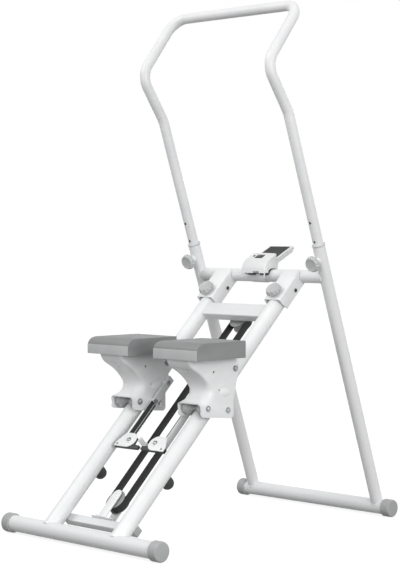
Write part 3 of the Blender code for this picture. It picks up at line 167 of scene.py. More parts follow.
def surface(material, shader, colour, roughness, bump):
    """Links a material's colour, roughness and bump to its shader."""
    for source, name in ((colour, "Base Color"), (roughness, "Roughness"), (bump, "Normal")):
        link(material, source, shader.inputs[name])
    return material


def per_mm(size):
    """Noise scale whose cells are this many millimetres across."""
    return 1000.0 / size


def two_tone(material, coords, size, low, high, spread=0.15):
    """Colour that wanders between two tones over cells of a size in mm."""
    cells = add(material, "TexNoise", {"Scale": per_mm(size), "Detail": 3.0}, {"Vector": coords})
    tone = add(material, "ValToRGB", {}, {"Fac": cells})
    for stop, share, code in zip(tone.color_ramp.elements, (0.5 - spread, 0.5 + spread), (low, high)):
        stop.position = share
        stop.color = linear(code)
    return tone


def worn_edges(material, colour, edge_wear_and_highlight):
    """The colour with its edges turned to another tone: rubbed wear, and on the pedal's darker faces a
    painted highlight.
    """
    edge = add(material, "NewGeometry", {}, {}).outputs["Pointiness"]
    amount = add(material, "MapRange", {"From Min": 0.53, "From Max": 0.64}, {"Value": edge})
    mixed = add(material, "Mix", {"data_type": "RGBA", 7: linear(edge_wear_and_highlight)}, {0: amount, 6: colour})
    return mixed.outputs[2]


def powder_coat(name, thin, thick, edge_wear_and_highlight, roughness):
    """Polyester powder coat, sprayed on steel and stoved: satin, with a shallow orange peel.

    The real peel is about 1 mm across and is drawn at 2.5 mm, so that it shows in the highlights. The coat's
    build changes its tone over some 90 mm, and sawn and folded edges are rubbed a little duller.
    """
    material, shader, coords = blank(name, 1.5)
    peel = add(material, "TexNoise", {"Scale": per_mm(2.5), "Detail": 1.5}, {"Vector": coords})
    haze = add(material, "TexNoise", {"Scale": per_mm(35), "Detail": 4.0}, {"Vector": coords})
    satin = add(material, "MapRange", {"To Min": roughness - 0.07, "To Max": roughness + 0.09},
                {"Value": haze})
    bump = add(material, "Bump", {"Strength": 0.3, "Distance": 0.00003}, {"Height": peel})
    shader.inputs["Coat Weight"].default_value = 0.12
    shader.inputs["Coat Roughness"].default_value = 0.25
    tone = two_tone(material, coords, 90, thin, thick)
    return surface(material, shader, worn_edges(material, tone, edge_wear_and_highlight), satin, bump)


def moulded(name, dark, light, edge_wear_and_highlight, roughness, grain, depth, ior=1.49):
    """Injection-moulded plastic from a spark-eroded mould: matt, with a fine pitted grain and faint streaks.

    grain is the pits' size in mm, about twice the real one so that it shows close up. The streaks left by the
    melt's flow are 12 mm wide.
    """
    material, shader, coords = blank(name, ior)
    pits = add(material, "TexVoronoi", {"Scale": per_mm(grain)}, {"Vector": coords})
    drawn = add(material, "Mapping", {"Scale": (1.0, 0.25, 0.25)}, {"Vector": coords})
    streaks = add(material, "TexNoise", {"Scale": per_mm(12), "Detail": 5.0, "Distortion": 0.6},
                  {"Vector": drawn})
    matt = add(material, "MapRange", {"To Min": roughness - 0.06, "To Max": roughness + 0.08},
               {"Value": streaks})
    bump = add(material, "Bump", {"Strength": 0.35, "Distance": depth / 1000}, {"Height": pits})
    tone = two_tone(material, coords, 60, dark, light, 0.25)
    return surface(material, shader, worn_edges(material, tone, edge_wear_and_highlight), matt, bump)


def rubber(name, dark, light, rib, turn):
    """Vulcanised rubber with a dusty bloom; rib is the pitch in mm of the marks of its mould cloth."""
    material, shader, coords = blank(name, 1.52)
    along = add(material, "Mapping", {"Rotation": (turn, 0, 0)}, {"Vector": coords})
    cords = add(material, "TexWave", {"Scale": per_mm(rib) / math.tau, "bands_direction": "Y",
                                      "Distortion": 0.4}, {"Vector": along})
    dust = add(material, "TexNoise", {"Scale": per_mm(18), "Detail": 6.0}, {"Vector": coords})
    bloom = add(material, "MapRange", {"To Min": 0.52, "To Max": 0.72}, {"Value": dust})
    bump = add(material, "Bump", {"Strength": 0.3, "Distance": 0.0001}, {"Height": cords.outputs["Fac"]})
    tone = two_tone(material, coords, 30, dark, light)
    return surface(material, shader, worn_edges(material, tone, "3A3B3C"), bloom, bump)


def zinc_plate():
    """Bright zinc plate on turned and rolled steel: pale blue-grey, with patchy lustre and fine tool lines.

    The lines are 0.4 mm apart, three times the real ones.
    """
    material, shader, coords = blank("zinc_plate", metallic=1.0)
    patches = add(material, "TexNoise", {"Scale": per_mm(6), "Detail": 4.0}, {"Vector": coords})
    lines = add(material, "TexNoise", {"Scale": per_mm(0.4)}, {"Vector": coords})
    lustre = add(material, "MapRange", {"To Min": 0.22, "To Max": 0.42}, {"Value": patches})
    bump = add(material, "Bump", {"Strength": 0.2, "Distance": 0.00002}, {"Height": lines})
    return surface(material, shader, two_tone(material, coords, 8, "8E9194", "B4B6B9"), lustre, bump)


def counter_window():
    """Polycarbonate over a grey liquid crystal panel: nearly black, bloomed, with hairline wipe marks."""
    material, shader, coords = blank("polycarbonate_window", 1.58)
    wiped = add(material, "Mapping", {"Scale": (6.0, 1.0, 1.0)}, {"Vector": coords})
    marks = add(material, "TexNoise", {"Scale": per_mm(3), "Detail": 5.0}, {"Vector": wiped})
    gloss = add(material, "MapRange", {"To Min": 0.1, "To Max": 0.22}, {"Value": marks})
    bump = add(material, "Bump", {"Strength": 0.1, "Distance": 0.00001}, {"Height": marks})
    shader.inputs["Specular IOR Level"].default_value = 0.15
    return surface(material, shader, two_tone(material, coords, 14, "17191A", "232627"), gloss, bump)


RAIL_WHITE = powder_coat("white_powder_coat", "ECEDEE", "F3F4F4", "DFE0E1", 0.36)
LEG_WHITE = powder_coat("front_powder_coat", "F0F0F1", "F5F5F6", "E2E3E4", 0.34)
HANDLE_WHITE = powder_coat("handlebar_powder_coat", "E8E9EA", "EFEFF0", "DBDCDD", 0.36)
GREY_CAP = moulded("grey_polypropylene", "A3A4A5", "AFB0B0", "C0C1C1", 0.52, 0.9, 0.05)
KNOB_GREY = moulded("knob_nylon", "B8B9BA", "C4C5C5", "D4D5D5", 0.46, 0.9, 0.04, 1.53)
# Lit copy of the pedal's grey: only its rear face keeps it, as painted light.
PEDAL_LIT_GREY = moulded("pedal_glass_nylon", "AEAFB0", "B8B9BA", "D6D7D7", 0.5, 1.3, 0.06, 1.53)
# Shaded copy of the same grey for the pedal's top, sides and underside, as painted shade.
PEDAL_SHADED_GREY = moulded("pedal_soft_tread", "7D7E7F", "858686", "C6C7C7", 0.52, 1.6, 0.1, 1.5)
# The darker pedal copy's light edge tone above is a painted highlight along the lip and edges.
SHELL_WHITE = moulded("white_abs", "E0E1E2", "E7E8E8", "F4F4F4", 0.34, 0.8, 0.015, 1.54)
BUSH = moulded("milky_nylon", "C9CBCC", "D8DADB", "E4E5E6", 0.4, 0.7, 0.02, 1.53)
# Black nylon of the jaws, bolts, button and pad, also used for the counter's saddle as painted shadow.
BLACK_NYLON_AND_SHADOW = moulded("black_nylon", "17181A", "212224", "303133", 0.46, 0.8, 0.03, 1.53)
BELT_RUBBER = rubber("belt_rubber", "131415", "1C1D1E", 2.0, -RAIL_ANGLE)
# Black rubber of the fold rests, also used inside the belt arms as painted shadow.
RUBBER_AND_SHADOW_BLACK = rubber("dome_rubber", "18191A", "232425", 3.0, 0.0)
ZINC = zinc_plate()
WINDOW = counter_window()


# Modelling steps

def start():
    """Back to object mode with nothing selected."""
    if bpy.context.mode != "OBJECT":
        bpy.ops.object.mode_set(mode="OBJECT")
    bpy.ops.object.select_all(action="DESELECT")


def take(item):
    """Makes one piece the only one selected."""
    start()
    item.select_set(True)
    bpy.context.view_layer.objects.active = item
    return item


def fresh(name):
    """Names a new primitive and puts its place into its mesh."""
    item = bpy.context.object
    item.name = item.data.name = name
    bpy.ops.object.transform_apply(location=True, rotation=True, scale=True)
    return item


def open_all():
    """Opens the active piece with all of it selected."""
    bpy.ops.object.mode_set(mode="EDIT")
    bpy.ops.mesh.select_mode(type="VERT")
    bpy.ops.mesh.select_all(action="SELECT")


def pick(kind, test):
    """Opens the active piece and selects the faces, edges or vertices whose middle and normal pass a test.

    An edge's direction stands for its normal.
    """
    bpy.ops.object.mode_set(mode="EDIT")
    bpy.ops.mesh.select_mode(type=kind)
    bpy.ops.mesh.select_all(action="DESELECT")
    mesh = bmesh.from_edit_mesh(bpy.context.edit_object.data)
    if kind == "FACE":
        parts = [(f, f.calc_center_median(), f.normal) for f in mesh.faces]
    elif kind == "EDGE":
        ends = [(e, e.verts[0].co, e.verts[1].co) for e in mesh.edges]
        parts = [(e, (first + last) / 2, (last - first).normalized()) for e, first, last in ends]
    else:
        parts = [(v, v.co, v.normal) for v in mesh.verts]
    for part, middle, normal in parts:
        if test(middle, normal):
            part.select_set(True)
    bmesh.update_edit_mesh(bpy.context.edit_object.data)


def draw(x, y, z):
    """Extrudes what is selected."""
    bpy.ops.mesh.extrude_region_move(TRANSFORM_OT_translate={"value": (x, y, z)})


def face_out():
    """Welds doubles, turns every face outwards and goes back to object mode."""
    open_all()
    bpy.ops.mesh.remove_doubles(threshold=0.000005)
    bpy.ops.mesh.normals_make_consistent(inside=False)
    bpy.ops.object.mode_set(mode="OBJECT")


def cylinder(name, radius, low, high, sides=48, ends="NGON"):
    """Cylinder along z between two heights."""
    start()
    bpy.ops.mesh.primitive_cylinder_add(vertices=sides, radius=radius, depth=high - low, end_fill_type=ends,
                                        location=(0, 0, (low + high) / 2))
    return fresh(name)


def block(name, low, high):
    """Box between two corners."""
    start()
    centre = [(a + b) / 2 for a, b in zip(low, high)]
    bpy.ops.mesh.primitive_cube_add(size=1, location=centre, scale=[b - a for a, b in zip(low, high)])
    return fresh(name)


def rounded_block(name, low, high, radius, segments):
    """Box between two corners, with its edges along z rounded."""
    item = block(name, low, high)
    pick("EDGE", lambda p, n: abs(n.z) > 0.9)
    bpy.ops.mesh.bevel(offset=radius, segments=segments)
    bpy.ops.object.mode_set(mode="OBJECT")
    return item


def finish_with(item, kind, **settings):
    """Adds a modifier with its settings and applies it."""
    take(item)
    modifier = item.modifiers.new("step", kind)
    for name, value in settings.items():
        setattr(modifier, name, value)
    bpy.ops.object.modifier_apply(modifier=modifier.name)
    return item


def ease(item, width, segments=3, angle=40):
    """Rounds every edge sharper than the angle."""
    return finish_with(item, "BEVEL", width=width, segments=segments, limit_method="ANGLE",
                       angle_limit=math.radians(angle))


def walled(item, wall):
    """Gives an open skin its wall, drawn inwards."""
    return finish_with(item, "SOLIDIFY", thickness=wall, offset=-1, use_even_offset=True)


def cut(item, *cutters):
    """Cuts other pieces out of one."""
    for cutter in cutters:
        finish_with(item, "BOOLEAN", operation="DIFFERENCE", solver="EXACT", object=cutter)
        bpy.data.objects.remove(cutter)
    return item


def hole(radius, where, sides=32, low=-REACH, high=REACH):
    """Cutter for a round hole along z of a placement."""
    return place(cylinder("hole", radius, low, high, sides), where)


def place(item, where):
    """Sets a piece down and puts its place into its mesh."""
    take(item)
    item.matrix_world = where
    bpy.ops.object.transform_apply(location=True, rotation=True, scale=True)
    return item


def copied(item, name, where):
    """A copy with its own mesh, set down at another place."""
    take(item)
    bpy.ops.object.duplicate()
    made = bpy.context.object
    made.name = made.data.name = name
    return place(made, where)


def joined(item, *others):
    """Joins separate bodies into one piece."""
    take(item)
    for other in others:
        other.select_set(True)
    bpy.ops.object.join()
    return item


def turned(name, profile, sides=64, hollow=False):
    """Turned piece: a circle drawn from ring to ring of (radius, height), its ends filled or bridged."""
    start()
    radius, height = profile[0]
    bpy.ops.mesh.primitive_circle_add(vertices=sides, radius=radius, location=(0, 0, height),
                                      fill_type="NOTHING" if hollow else "NGON")
    item = fresh(name)
    open_all()
    for wide, level in profile[1:]:
        draw(0, 0, level - height)
        bpy.ops.transform.resize(value=(wide / radius, wide / radius, 1))
        radius, height = wide, level
    if hollow:
        rings = (profile[0], profile[-1])
        pick("EDGE", lambda p, n: abs(n.z) < 0.001 and any(
            abs(p.z - level) < 1e-6 and abs(p.xy.length / math.cos(math.pi / sides) - wide) < 1e-5
            for wide, level in rings))
        bpy.ops.mesh.bridge_edge_loops()
    face_out()
    return item


def traced(name, points, low, high):
    """Flat outline drawn corner by corner in the xy plane, filled, and drawn up to its thickness."""
    start()
    bpy.ops.mesh.primitive_plane_add(size=0.01)
    item = fresh(name)
    open_all()
    bpy.ops.mesh.merge(type="CENTER")
    bpy.ops.transform.translate(value=(*points[0], low))
    for before, after in zip(points, points[1:]):
        draw(after[0] - before[0], after[1] - before[1], 0)
    bpy.ops.mesh.select_all(action="SELECT")
    bpy.ops.mesh.edge_face_add()
    draw(0, 0, high - low)
    face_out()
    return item


def tube(name, radius, wall, low, high, sides=96):
    """Drawn tube along z: an open cylinder that is given its wall."""
    return walled(cylinder(name, radius, low, high, sides, "NOTHING"), wall)


def box_tube(name, half, depth, length, radius, segments):
    """Box tube along z with rounded corners; all three sizes are half ones."""
    item = rounded_block(name, (-half, -depth, -length), (half, depth, length), radius, segments)
    pick("FACE", lambda p, n: abs(n.z) > 0.9)
    bpy.ops.mesh.delete(type="ONLY_FACE")
    return walled(item, WALL)

def done(item, look, body, *nodes, angle=32):
    """Smooths and colours a finished piece, which rides on its body and stands for its solids."""
    take(item)
    bpy.ops.object.shade_smooth_by_angle(angle=math.radians(angle))
    item.data.materials.clear()
    item.data.materials.append(look)
    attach(item, body)
    if nodes:
        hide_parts(*nodes)
    return item


def recolour(item, look, test):
    """Gives some of a finished piece's faces a second material."""
    take(item)
    item.data.materials.append(look)
    item.active_material_index = 1
    pick("FACE", test)
    bpy.ops.object.material_slot_assign()
    start()


def pair(item, look, body, *nodes, angle=32):
    """Finishes a right-hand piece and its mirrored copy for the left; {} in a name stands for the side."""
    name = item.name
    left = copied(item, f"{name}_left", Matrix.Diagonal((-1, 1, 1, 1)))
    face_out()
    item.name = item.data.name = f"{name}_right"
    for made, side in ((left, "left"), (item, "right")):
        done(made, look, body.format(side), *(node.format(side) for node in nodes), angle=angle)


def arc(centre, radius, first, last, steps):
    """Points on an arc, with angles in degrees."""
    turns = [math.radians(first + (last - first) * k / steps) for k in range(steps + 1)]
    return [(centre[0] + radius * math.cos(a), centre[1] + radius * math.sin(a)) for a in turns]


def parabola(first, corner, last, steps):
    """Points from first to last on a curve whose end tangents meet at the corner."""
    out = []
    for k in range(steps + 1):
        f = k / steps
        near, middle, far = (1 - f) ** 2, 2 * f * (1 - f), f * f
        out.append(tuple(near * a + middle * b + far * c for a, b, c in zip(first, corner, last)))
    return out


def rounded(points, radii, steps=5):
    """Closed outline with its corners rounded, each by its own radius."""
    out = []
    for index, radius in enumerate(radii):
        before, corner, after = (Vector(points[(index + k) % len(points)]) for k in (-1, 0, 1))
        incoming, outgoing = corner - before, after - corner
        half_turn = incoming.angle(outgoing) / 2
        reach = min(radius * math.tan(half_turn), incoming.length * 0.48, outgoing.length * 0.48)
        if reach < 1e-6:
            out.append(tuple(corner))
        else:
            first, last = corner - incoming.normalized() * reach, corner + outgoing.normalized() * reach
            out += parabola(first, corner, last, steps)
    return out


# Fasteners, each modelled once and copied

def hex_bolt(size, height):
    """Hex head with chamfered corners on a thin washer, standing on z = 0."""
    head = cylinder("hex_bolt", size, 0.001, height, 6)
    pick("FACE", lambda p, n: n.z > 0.9)
    bpy.ops.mesh.inset(thickness=size * 0.16, depth=size * 0.1)
    ease(head, size * 0.04, 2, 20)
    return joined(head, ease(cylinder("washer", size * 1.42, 0, 0.0011), 0.0003, 2))


def pan_screw(radius, height):
    """Cross-recessed pan head, standing on z = 0."""
    head = turned("pan_screw", [(radius, 0), (radius, height * 0.35), (radius * 0.9, height * 0.72),
                                (radius * 0.68, height * 0.94), (radius * 0.4, height)], 32)
    arm, slot = radius * 0.5, radius * 0.11
    for x, y in ((arm, slot), (slot, arm)):
        cut(head, block("recess", (-x, -y, height * 0.5), (x, y, height * 2)))
    return head


def seam(radius, onto, stations, part=math.sin, clear=0.0004):
    """Heights of the seam round a tube's end where it meets another tube, a little clear of it.

    part is sine or cosine, for the way in which the other tube runs.
    """
    heights = []
    for k in range(stations):
        off = radius * part(math.tau * k / stations)
        heights.append(math.sqrt(max(onto**2 - off**2, 0.006**2)) + clear)
    return heights


def weld(name, radius, bead, heights, where, look, body):
    """Weld bead: a fine ring whose stations are lifted one by one onto the seam, some fuller than others."""
    start()
    count = len(heights)
    bpy.ops.mesh.primitive_torus_add(major_segments=count, minor_segments=8, major_radius=radius,
                                     minor_radius=bead)
    item = fresh(name)
    half_station = math.cos(math.pi / count * 0.5)
    for index, height in enumerate(heights):
        angle = math.tau * index / count
        spoke = Vector((math.cos(angle), math.sin(angle), 0))
        pick("VERT", lambda p, n: Vector((p.x, p.y, 0)).normalized().dot(spoke) > half_station)
        bpy.ops.transform.translate(value=(0, 0, height))
        fuller = 1 + 0.16 * math.sin(index * 1.9)
        bpy.ops.transform.resize(value=(fuller, fuller, fuller))
    face_out()
    pair(place(item, where), look, body, angle=60)


# Frame tubes and their caps

def base(name, radius, cap_radius, half, axis, look, body):
    """Base tube with its two cup-shaped caps."""
    floor = 0.006
    item = tube(f"{name}_base_round", radius, WALL, floor - half, half - floor)
    done(place(item, cross(axis)), look, body, f"{name}_base_tube")
    outer = cap_radius * CAP_FLAT
    profile = [(outer * 0.45, 0.0311), (outer - 0.0062, 0.0307)]
    profile += [(outer - 0.0045 + reach, 0.0262 + rise) for reach, rise in arc((0, 0), 0.0045, 75, 0, 5)]
    profile += [(outer, 0.0046), (outer - 0.0004, 0.0042), (outer - 0.0004, 0.0034), (outer, 0.003),
                (outer, 0.0012), (outer - 0.0011, 0), (radius + GAP, 0), (radius + GAP, 0.0247)]
    cap = turned(f"{name}_cap_round", profile, 72)
    pair(place(cap, cross(axis + X * (half - 0.031))), GREY_CAP, body, name + "_cap_{}")


def rails():
    """Round rails, saddled onto the base and rounded off about the fold's pivot."""
    item = tube("rail_round", RAIL_R, WALL, 0.006, PIVOT_ALONG + RAIL_R + 0.004)
    place(item, round_rail(RAIL_X, 0))
    saddle = hole(REAR_R + GAP, cross(rail_point(RAIL_X, 0)), 96, -0.04, 0.04)
    end = arc((PIVOT_ALONG, -0.004), RAIL_R + 0.0037, 90, -90, 20)
    end += [(PIVOT_ALONG, -REACH), (PIVOT_ALONG + REACH, -REACH), (PIVOT_ALONG + REACH, REACH),
            (PIVOT_ALONG, REACH)]
    block_off = place(traced("rail_end", end, -REACH, REACH), beside_rail(RAIL_X, 0))
    pivot = hole(BORE, cross(PIVOT + X * RAIL_X))
    lock = hole(BORE, on_rail(RAIL_X, LOCK_ALONG), low=0)
    pair(cut(item, saddle, block_off, pivot, lock), RAIL_WHITE, "rail_frame", "rail_{}")
    foot = axes(rail_point(RAIL_X, 0), X, ABOVE, ALONG)
    weld("rail_weld", RAIL_R, 0.0023, seam(RAIL_R, REAR_R, 80), foot, RAIL_WHITE, "rail_frame")


def legs():
    """Front legs with the bosses of their locks, and the crossbar between them."""
    item = place(tube("leg_round", LEG_R, 0.0019, 0.004, LEG_TOP), on_leg(LEG_X, 0))
    cut(item, hole(FRONT_R + GAP, cross(leg_point(LEG_X, 0)), 96, -0.03, 0.03))
    boss = turned("boss", [(0.0095, 0.0163), (0.0095, LEG_R + 0.0138), (0.0084, LEG_R + 0.015),
                           (BORE, LEG_R + 0.015), (BORE, 0.0163)], 40, hollow=True)
    place(boss, behind_leg(LEG_X, PIN_ALONG))
    pair(joined(item, boss), LEG_WHITE, "front_frame", "leg_{}")
    crossbar_end = axes(leg_point(LEG_X, CROSSBAR_UP), BEHIND, UP_LEG, -X)
    for name, radius, bead, heights, where in (
            ("leg_weld", LEG_R, 0.0019, seam(LEG_R, FRONT_R, 64), on_leg(LEG_X, 0)),
            ("crossbar_weld", CROSSBAR_R, 0.0019, seam(CROSSBAR_R, LEG_R, 64, math.cos), crossbar_end),
            ("boss_weld", 0.0097, 0.0013, seam(0.0097, LEG_R, 48, math.cos, 0),
             behind_leg(LEG_X, PIN_ALONG))):
        weld(name, radius, bead, heights, where, LEG_WHITE, "front_frame")
    half = LEG_X - 0.008
    bar = place(tube("crossbar_round", CROSSBAR_R, WALL, -half, half), cross(leg_point(0, CROSSBAR_UP)))
    for side in (-1, 1):
        cut(bar, hole(LEG_R + GAP, on_leg(side * LEG_X, CROSSBAR_UP), 64, -0.03, 0.03))
    done(bar, LEG_WHITE, "front_frame", "crossbar")


def handlebar():
    """One tube bent six times: a ring is drawn along the straights and spun round each bend."""
    grip, top = math.radians(34.26), math.radians(37.97)
    foot = 0.668
    corners = [leg_point(LEG_X, foot), leg_point(LEG_X, 1.2845)]
    corners.append(corners[1] + Vector((0, -math.sin(grip), math.cos(grip))) * 0.1666)
    corners.append(corners[2] + Vector((0, math.sin(top), math.cos(top))) * 0.2347)
    corners += [Vector((-corner.x, corner.y, corner.z)) for corner in reversed(corners)]
    radii = (0.11, 0.06, 0.055, 0.055, 0.06, 0.11)
    start()
    bpy.ops.mesh.primitive_circle_add(vertices=48, radius=HANDLE_R, location=corners[0],
                                      rotation=on_leg(LEG_X, foot).to_euler())
    item = fresh("handlebar_round")
    open_all()
    here = corners[0]
    for before, corner, after, radius in zip(corners, corners[1:], corners[2:], radii):
        incoming, outgoing = (corner - before).normalized(), (after - corner).normalized()
        bend = incoming.angle(outgoing)
        begin = corner - incoming * radius * math.tan(bend / 2)
        draw(*(begin - here))
        inward = (outgoing - incoming * incoming.dot(outgoing)).normalized()
        # Spin turns left-handed about its axis.
        bpy.ops.mesh.spin(steps=14, angle=-bend, center=begin + inward * radius, axis=incoming.cross(inward))
        here = corner + outgoing * radius * math.tan(bend / 2)
    draw(*(corners[-1] - here))
    face_out()
    walled(item, 0.0016)
    for side in (-1, 1):
        for index in range(3):
            cut(item, hole(BORE, behind_leg(side * LEG_X, PIN_ALONG + HOLE_PITCH * index), low=0, high=0.03))
    done(item, HANDLE_WHITE, "handlebar", "handlebar")
    top = LEG_TOP + GAP
    profile = [(0.018, top), (0.018, top + 0.0018), (0.0203, top + 0.002), (0.0206, top + 0.0026),
               (0.0206, top + 0.005), (0.0201, top + 0.0062), (0.019, top + 0.0069), (0.0174, top + 0.007),
               (0.0165, top + 0.0062), (0.0163, top + 0.005),
               (0.0163, 0.846), (0.0168, 0.846), (0.0168, top)]
    collar = turned("collar_round", profile, 64, hollow=True)
    pair(place(collar, on_leg(LEG_X, 0)), BUSH, "front_frame", "collar_{}")


def channels():
    """Sheet channel folded over the rail's top end, with the boss of its lock."""
    half, top, low, bend, wall, length = 0.033, 0.029, -0.018, 0.007, 0.003, 0.127
    outline = [(half, low)] + arc((half - bend, top - bend), bend, 0, 90, 8)
    outline += arc((-half + bend, top - bend), bend, 90, 180, 8) + [(-half, low), (wall - half, low)]
    outline += arc((-half + bend, top - bend), bend - wall, 180, 90, 8)
    outline += arc((half - bend, top - bend), bend - wall, 90, 0, 8) + [(half - wall, low)]
    item = ease(traced("channel_folded", outline, -length, 0), 0.0006, 2)
    place(item, axes(rail_point(RAIL_X, CROSSBAR_ALONG - length), X, ABOVE, -ALONG))
    cut(item, hole(CROSSBAR_R + GAP, cross(leg_point(RAIL_X, CROSSBAR_UP)), 96))
    cut(item, hole(BORE, cross(PIVOT + X * RAIL_X)))
    slant = [(-0.14, 0.01), (-0.1272, 0.01), (-0.117, -0.03), (-0.14, -0.03)]
    cut(item, place(traced("trim", slant, -REACH, REACH), beside_rail(RAIL_X, CROSSBAR_ALONG)))
    boss = turned("boss", [(0.0096, 0.0282), (0.0095, 0.032), (0.0088, 0.033), (BORE, 0.033),
                           (BORE, 0.0262)], 40, hollow=True)
    place(boss, on_rail(RAIL_X, LOCK_ALONG))
    pair(joined(item, boss), RAIL_WHITE, "front_frame", "fold_channel_{}", angle=38)
    bolt = place(cylinder("pivot_bolt", 0.004, -0.0336, 0.0336), SIDEWAYS)
    for face in (-1, 1):
        head = turned("head", [(0.0052, 0), (0.006, 0.0005), (0.006, 0.0012), (0.0048, 0.0026),
                               (0.0026, 0.003)], 32)
        joined(bolt, place(head, axes(X * face * 0.0333, Z, Y * face, X * face)))
    pair(place(bolt, Matrix.Translation(PIVOT + X * RAIL_X)), BLACK_NYLON_AND_SHADOW, "rail_frame", "fold_pivot_bolt_{}")


def knob(name, where, tip, shoulder, body, node):
    """Fluted pull knob with a dished face, on its steel pin."""
    face = shoulder + 0.019
    profile = [(0.0115, shoulder), (0.0128, shoulder + 0.0006), (0.019, shoulder + 0.0024),
               (0.0232, shoulder + 0.0036), (0.0245, shoulder + 0.005), (0.025, shoulder + 0.0068),
               (0.0246, shoulder + 0.01), (0.0232, shoulder + 0.0142), (0.0222, face - 0.0022),
               (0.0213, face - 0.0008), (0.02, face), (0.0182, face - 0.0001), (0.0172, face - 0.0007),
               (0.0095, face - 0.0011)]
    item = turned(name, profile, 120)
    for depth in (0.1, 0.5, 0.8, 0.95):
        pick("VERT", lambda p, n: p.xy.length > 0.0203 and shoulder + 0.003 < p.z < face - 0.0005
             and math.cos(10 * math.atan2(p.y, p.x)) > depth)
        bpy.ops.transform.resize(value=(0.976, 0.976, 1), center_override=(0, 0, 0))
    pair(place(item, where), KNOB_GREY, body, node, angle=40)
    pin = turned(f"{name}_pin", [(0.0034, tip), (0.004, tip + 0.0006), (0.004, shoulder + 0.001)], 32)
    pair(place(pin, where), ZINC, body)


# Crossbeam and crossmember

def crossbeams():
    """Box tube between the rails, and the square tube under their lower ends with its plugs."""
    item = place(box_tube("crossbeam_box", 0.025, 0.014, RAIL_X, 0.004, 6), beside_rail(0, BEAM_ALONG, 0.001))
    for side in (-1, 1):
        cut(item, hole(RAIL_R + GAP, round_rail(side * RAIL_X, BEAM_ALONG), 96))
    done(item, RAIL_WHITE, "rail_frame", "upper_crossbeam")
    half, length, corner = CROSSMEMBER_HALF, 0.146, 0.003
    where = beside_rail(0, CROSSMEMBER_ALONG, -RAIL_R - GAP - half)
    item = place(box_tube("crossmember_box", half, half, length, corner, 5), where)
    done(item, RAIL_WHITE, "rail_frame", "lower_crossmember")
    plug = ease(rounded_block("plug_moulded", (-half, -half, length + GAP), (half, half, length + 0.0033),
                              corner, 5), 0.0008, 3)
    core = block("plug_core", (-0.0105, -0.0105, length - 0.012), (0.0105, 0.0105, length + 0.001))
    pair(place(joined(plug, core), where), GREY_CAP, "rail_frame", "crossmember_plug_{}")


# Carriages

# Side view of the bracket about the carriage's centre, forward and up: the edge that folds into the rear web,
# and the open edges
TOP = 0.1261
WAIST = (-0.06, 0.038)
REAR_EDGE = (parabola((-0.1425, TOP), (-0.1385, 0.106), (-0.113, 0.093), 4)
             + parabola((-0.113, 0.093), (-0.064, 0.067), WAIST, 7)[1:]
             + parabola(WAIST, (-0.06, 0.013), (-0.096, -0.002), 6)[1:])
LOWER_EDGE = rounded([(-0.096, -0.03), (-0.088, -0.041), (0.034, -0.052), (0.042, -0.045), (0.042, 0.002),
                      (0.061, 0.084), (0.053, TOP)], [0.012, 0.01, 0.012, 0.012, 0.04, 0.05, 0], 4)
FOLD = 0.008
SIDE_HOLES = ((-0.041, 0.087, 0.0034), (-0.018, 0.033, 0.0026))


def ear_outline():
    """Side view of a V-shaped flange."""
    tip = (-0.029, 0.0275)
    rear = parabola((-0.134, 0.108), (-0.086, 0.0835), tip, 9)
    front = parabola(tip, (0.03, 0.048), (0.04, 0.1), 9)
    round_tip = parabola(rear[-2], tip, front[1], 4)[1:-1]
    return [(-0.136, TOP)] + rear[:-1] + round_tip + front[1:] + [(0.04, TOP)]


def fold_width(height):
    """Radius of the web's fold at a height: narrow under the pedal and widest at the waist."""
    steps = ((-0.0021, 0.01), (0.01, 0.024), (0.025, 0.03), (0.036, 0.026), (0.05, 0.014),
             (0.065, 0.0085), (0.13, 0.0075))
    for (low, first), (high, last) in zip(steps, steps[1:]):
        if height <= high:
            return first + (last - first) * (height - low) / (high - low)


def inward(index):
    """The way into the side plate from its rear edge: square to the edge, or along the plate's end."""
    if index == 0:
        return Vector((1, 0))
    here = Vector(REAR_EDGE[index])
    if index == len(REAR_EDGE) - 1:
        return (Vector(LOWER_EDGE[0]) - here).normalized()
    before, after = here - Vector(REAR_EDGE[index - 1]), Vector(REAR_EDGE[index + 1]) - here
    run = before.normalized() + after.normalized()
    return Vector((-run.y, run.x)).normalized()


def bracket_shell():
    """Side plates, rear web and top plate folded from one sheet, about the carriage's centre."""
    outline = REAR_EDGE + LOWER_EDGE
    item = traced("bracket_folded", outline, -BRACKET_HALF, BRACKET_HALF)
    loop = outline + outline[:1]
    middles = [Vector(((a[0] + b[0]) / 2, (a[1] + b[1]) / 2)) for a, b in zip(loop, loop[1:])]
    folds = middles[:len(REAR_EDGE) - 1]
    open_sides = [m for m in middles if all((m - k).length > 1e-5 for k in folds + middles[-1:])]
    pick("FACE", lambda p, n: abs(n.z) < 0.5 and any((p.xy - m).length < 1e-5 for m in open_sides))
    bpy.ops.mesh.delete(type="ONLY_FACE")
    pick("EDGE", lambda p, n: abs(n.z) < 0.5 and any((p.xy - m).length < 1e-5 for m in folds))
    bpy.ops.mesh.bevel(offset=FOLD, segments=7)
    # Each row of the fold is drawn out from the sheet's sharp corner, so the fold widens towards the waist.
    for index, corner in enumerate(REAR_EDGE):
        times = fold_width(corner[1]) / FOLD
        way = inward(index)
        for side in (-1, 1):
            pick("VERT", lambda p, n: p.z * side > BRACKET_HALF - 0.0001 - FOLD
                 and abs((p.xy - Vector(corner)).cross(way)) < 0.0008
                 and -0.0003 < (p.xy - Vector(corner)).dot(way) < FOLD * 1.3)
            bpy.ops.transform.resize(value=(times, times, times),
                                     center_override=(*corner, side * BRACKET_HALF))
    open_all()
    bpy.ops.mesh.normals_make_consistent(inside=False)
    finish_with(walled(item, 0.003), "TRIANGULATE")
    place(item, SIDEWAYS)
    for _, along, level in STATIONS:
        cut(item, hole(BORE, cross(ALONG * along + ABOVE * level * ROLLER_OUT)))
    for forward, up, radius in SIDE_HOLES:
        cut(item, hole(radius, cross(Vector((0, forward, up)))))
    return item


